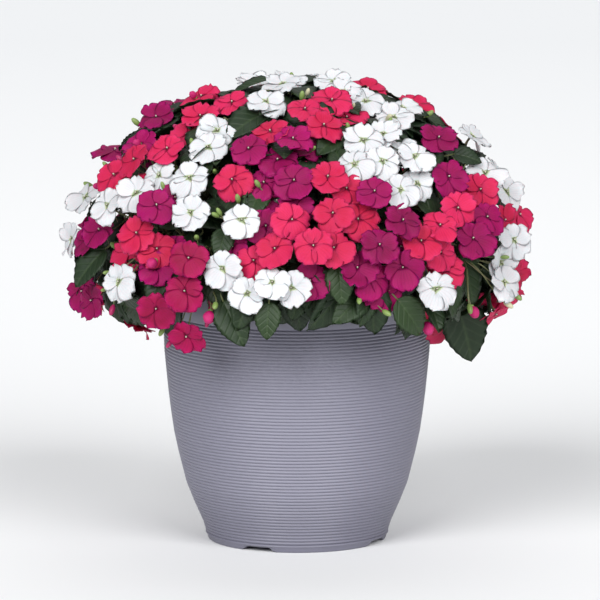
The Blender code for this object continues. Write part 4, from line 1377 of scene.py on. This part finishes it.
def make_stage(values):
    """A pale floor, soft light from high in front, and the far camera."""
    scene = bpy.context.scene
    disc = bmesh.new()
    bmesh.ops.create_circle(disc, cap_ends=True, segments=96, radius=FLOOR_RADIUS)
    mesh = bpy.data.meshes.new("floor")
    disc.to_mesh(mesh)
    disc.free()
    floor = bpy.data.objects.new("floor", mesh)
    scene.collection.objects.link(floor)
    mesh.materials.append(floor_material())
    for name, toward, spread, power in LIGHTS:
        data = bpy.data.lights.new(name, "SUN")
        data.angle = math.radians(spread)
        data.energy = power * values.light
        lamp = bpy.data.objects.new(name, data)
        lamp.rotation_mode = "QUATERNION"
        lamp.rotation_quaternion = Vector(toward).to_track_quat("Z", "Y")
        lamp.location = Vector(toward) * 2
        scene.collection.objects.link(lamp)
    world = bpy.data.worlds.new("studio")
    world.use_nodes = True
    sky = world.node_tree.nodes["Background"].inputs
    sky["Color"].default_value = (*SKY_COLOUR, 1.0)
    sky["Strength"].default_value = values.sky
    scene.world = world
    camera = bpy.data.objects.new("camera", bpy.data.cameras.new("camera"))
    camera.data.sensor_width = SENSOR
    camera.data.lens = SENSOR * VIEW_DISTANCE / (VIEW_WIDTH * VIEW_STEP)
    camera.data.clip_end = 60.0
    camera.location = VIEW_TARGET + VIEW_TOWARD * VIEW_DISTANCE
    camera.rotation_mode = "QUATERNION"
    camera.rotation_quaternion = VIEW_TOWARD.to_track_quat("Z", "Y")
    scene.collection.objects.link(camera)
    scene.camera = camera
    scene.view_settings.view_transform = "Standard"
    scene.view_settings.look = "None"


@functools.cache
def planting():
    """The planting's layout, worked out once."""
    return plan()


class BusyLizzieSettings(bpy.types.PropertyGroup):
    """Sizes, counts, colours and light of the potted busy lizzie"""
    inner_leaves: IntProperty(name="Inner leaves", default=780, min=0, max=1200,
                              description="Smaller leaves that fill the shade behind the blooms")
    buds: IntProperty(name="Buds", default=90, min=14, max=300,
                      description="Buds between the open blooms")
    pot_sides: IntProperty(name="Pot sides", default=160, min=32, max=360,
                           description="Steps that the pot is turned in")
    ribs: IntProperty(name="Ribs", default=67, min=10, max=90,
                      description="Fine ribs between the pot's foot and its band")
    white: FloatVectorProperty(name="White blooms", default=(0.66, 0.65, 0.67), min=0.0, max=1.0,
                               subtype="COLOR", description="Colour of the white petals")
    coral: FloatVectorProperty(name="Coral blooms", default=(0.58, 0.014, 0.082), min=0.0,
                               max=1.0, subtype="COLOR", description="Colour of the coral petals")
    magenta: FloatVectorProperty(name="Magenta blooms", default=(0.31, 0.001, 0.086), min=0.0,
                                 max=1.0, subtype="COLOR",
                                 description="Colour of the magenta petals")
    rose: FloatVectorProperty(name="Rose blooms", default=(0.40, 0.002, 0.072), min=0.0, max=1.0,
                              subtype="COLOR", description="Colour of the deep rose petals")
    pot: FloatVectorProperty(name="Pot", default=(0.226, 0.222, 0.277), min=0.0, max=1.0,
                             subtype="COLOR", description="Colour of the pot's resin")
    light: FloatProperty(name="Light", default=1.0, min=0.0, max=10.0,
                         description="Strength of the studio lights")
    sky: FloatProperty(name="Sky", default=0.24, min=0.0, max=5.0,
                       description="Strength of the even light from all round")


class BUSYLIZZIE_OT_blooms(bpy.types.Operator):
    """Make the petals and stalks of every spray"""
    bl_idname = "busylizzie.blooms"
    bl_label = "Blooms"

    def execute(self, context):
        make_blooms(context.scene.busy_lizzie)
        return {"FINISHED"}


class BUSYLIZZIE_OT_leaves(bpy.types.Operator):
    """Make the stems, branches and leaves"""
    bl_idname = "busylizzie.leaves"
    bl_label = "Leaves and stems"

    def execute(self, context):
        make_leaves(context.scene.busy_lizzie)
        return {"FINISHED"}


class BUSYLIZZIE_OT_buds(bpy.types.Operator):
    """Make the buds and the opening blooms"""
    bl_idname = "busylizzie.buds"
    bl_label = "Buds"

    def execute(self, context):
        make_buds(context.scene.busy_lizzie)
        return {"FINISHED"}


class BUSYLIZZIE_OT_pot(bpy.types.Operator):
    """Make the ribbed pot and its soil"""
    bl_idname = "busylizzie.pot"
    bl_label = "Pot and soil"

    def execute(self, context):
        make_pot(context.scene.busy_lizzie)
        make_soil()
        return {"FINISHED"}


class BUSYLIZZIE_OT_stage(bpy.types.Operator):
    """Make the floor, the lights and the camera"""
    bl_idname = "busylizzie.stage"
    bl_label = "Stage"

    def execute(self, context):
        make_stage(context.scene.busy_lizzie)
        return {"FINISHED"}


class BUSYLIZZIE_PT_panel(bpy.types.Panel):
    """Sizes and buttons of the potted busy lizzie"""
    bl_idname = "BUSYLIZZIE_PT_panel"
    bl_label = "Busy lizzie"
    bl_space_type = "VIEW_3D"
    bl_region_type = "UI"
    bl_category = "Busy lizzie"

    def draw(self, context):
        values = context.scene.busy_lizzie
        for name in BusyLizzieSettings.__annotations__:
            self.layout.prop(values, name)
        for kind in OPERATORS:
            self.layout.operator(kind.bl_idname)


OPERATORS = (BUSYLIZZIE_OT_pot, BUSYLIZZIE_OT_leaves, BUSYLIZZIE_OT_blooms, BUSYLIZZIE_OT_buds,
             BUSYLIZZIE_OT_stage)
CLASSES = (BusyLizzieSettings,) + OPERATORS + (BUSYLIZZIE_PT_panel,)


def register():
    for kind in CLASSES:
        bpy.utils.register_class(kind)
    bpy.types.Scene.busy_lizzie = PointerProperty(type=BusyLizzieSettings)


def unregister():
    del bpy.types.Scene.busy_lizzie
    for kind in reversed(CLASSES):
        bpy.utils.unregister_class(kind)


def main():
    register()
    bpy.ops.busylizzie.pot()
    bpy.ops.busylizzie.leaves()
    bpy.ops.busylizzie.blooms()
    bpy.ops.busylizzie.buds()
    bpy.ops.busylizzie.stage()


if __name__ == "__main__":
    main()
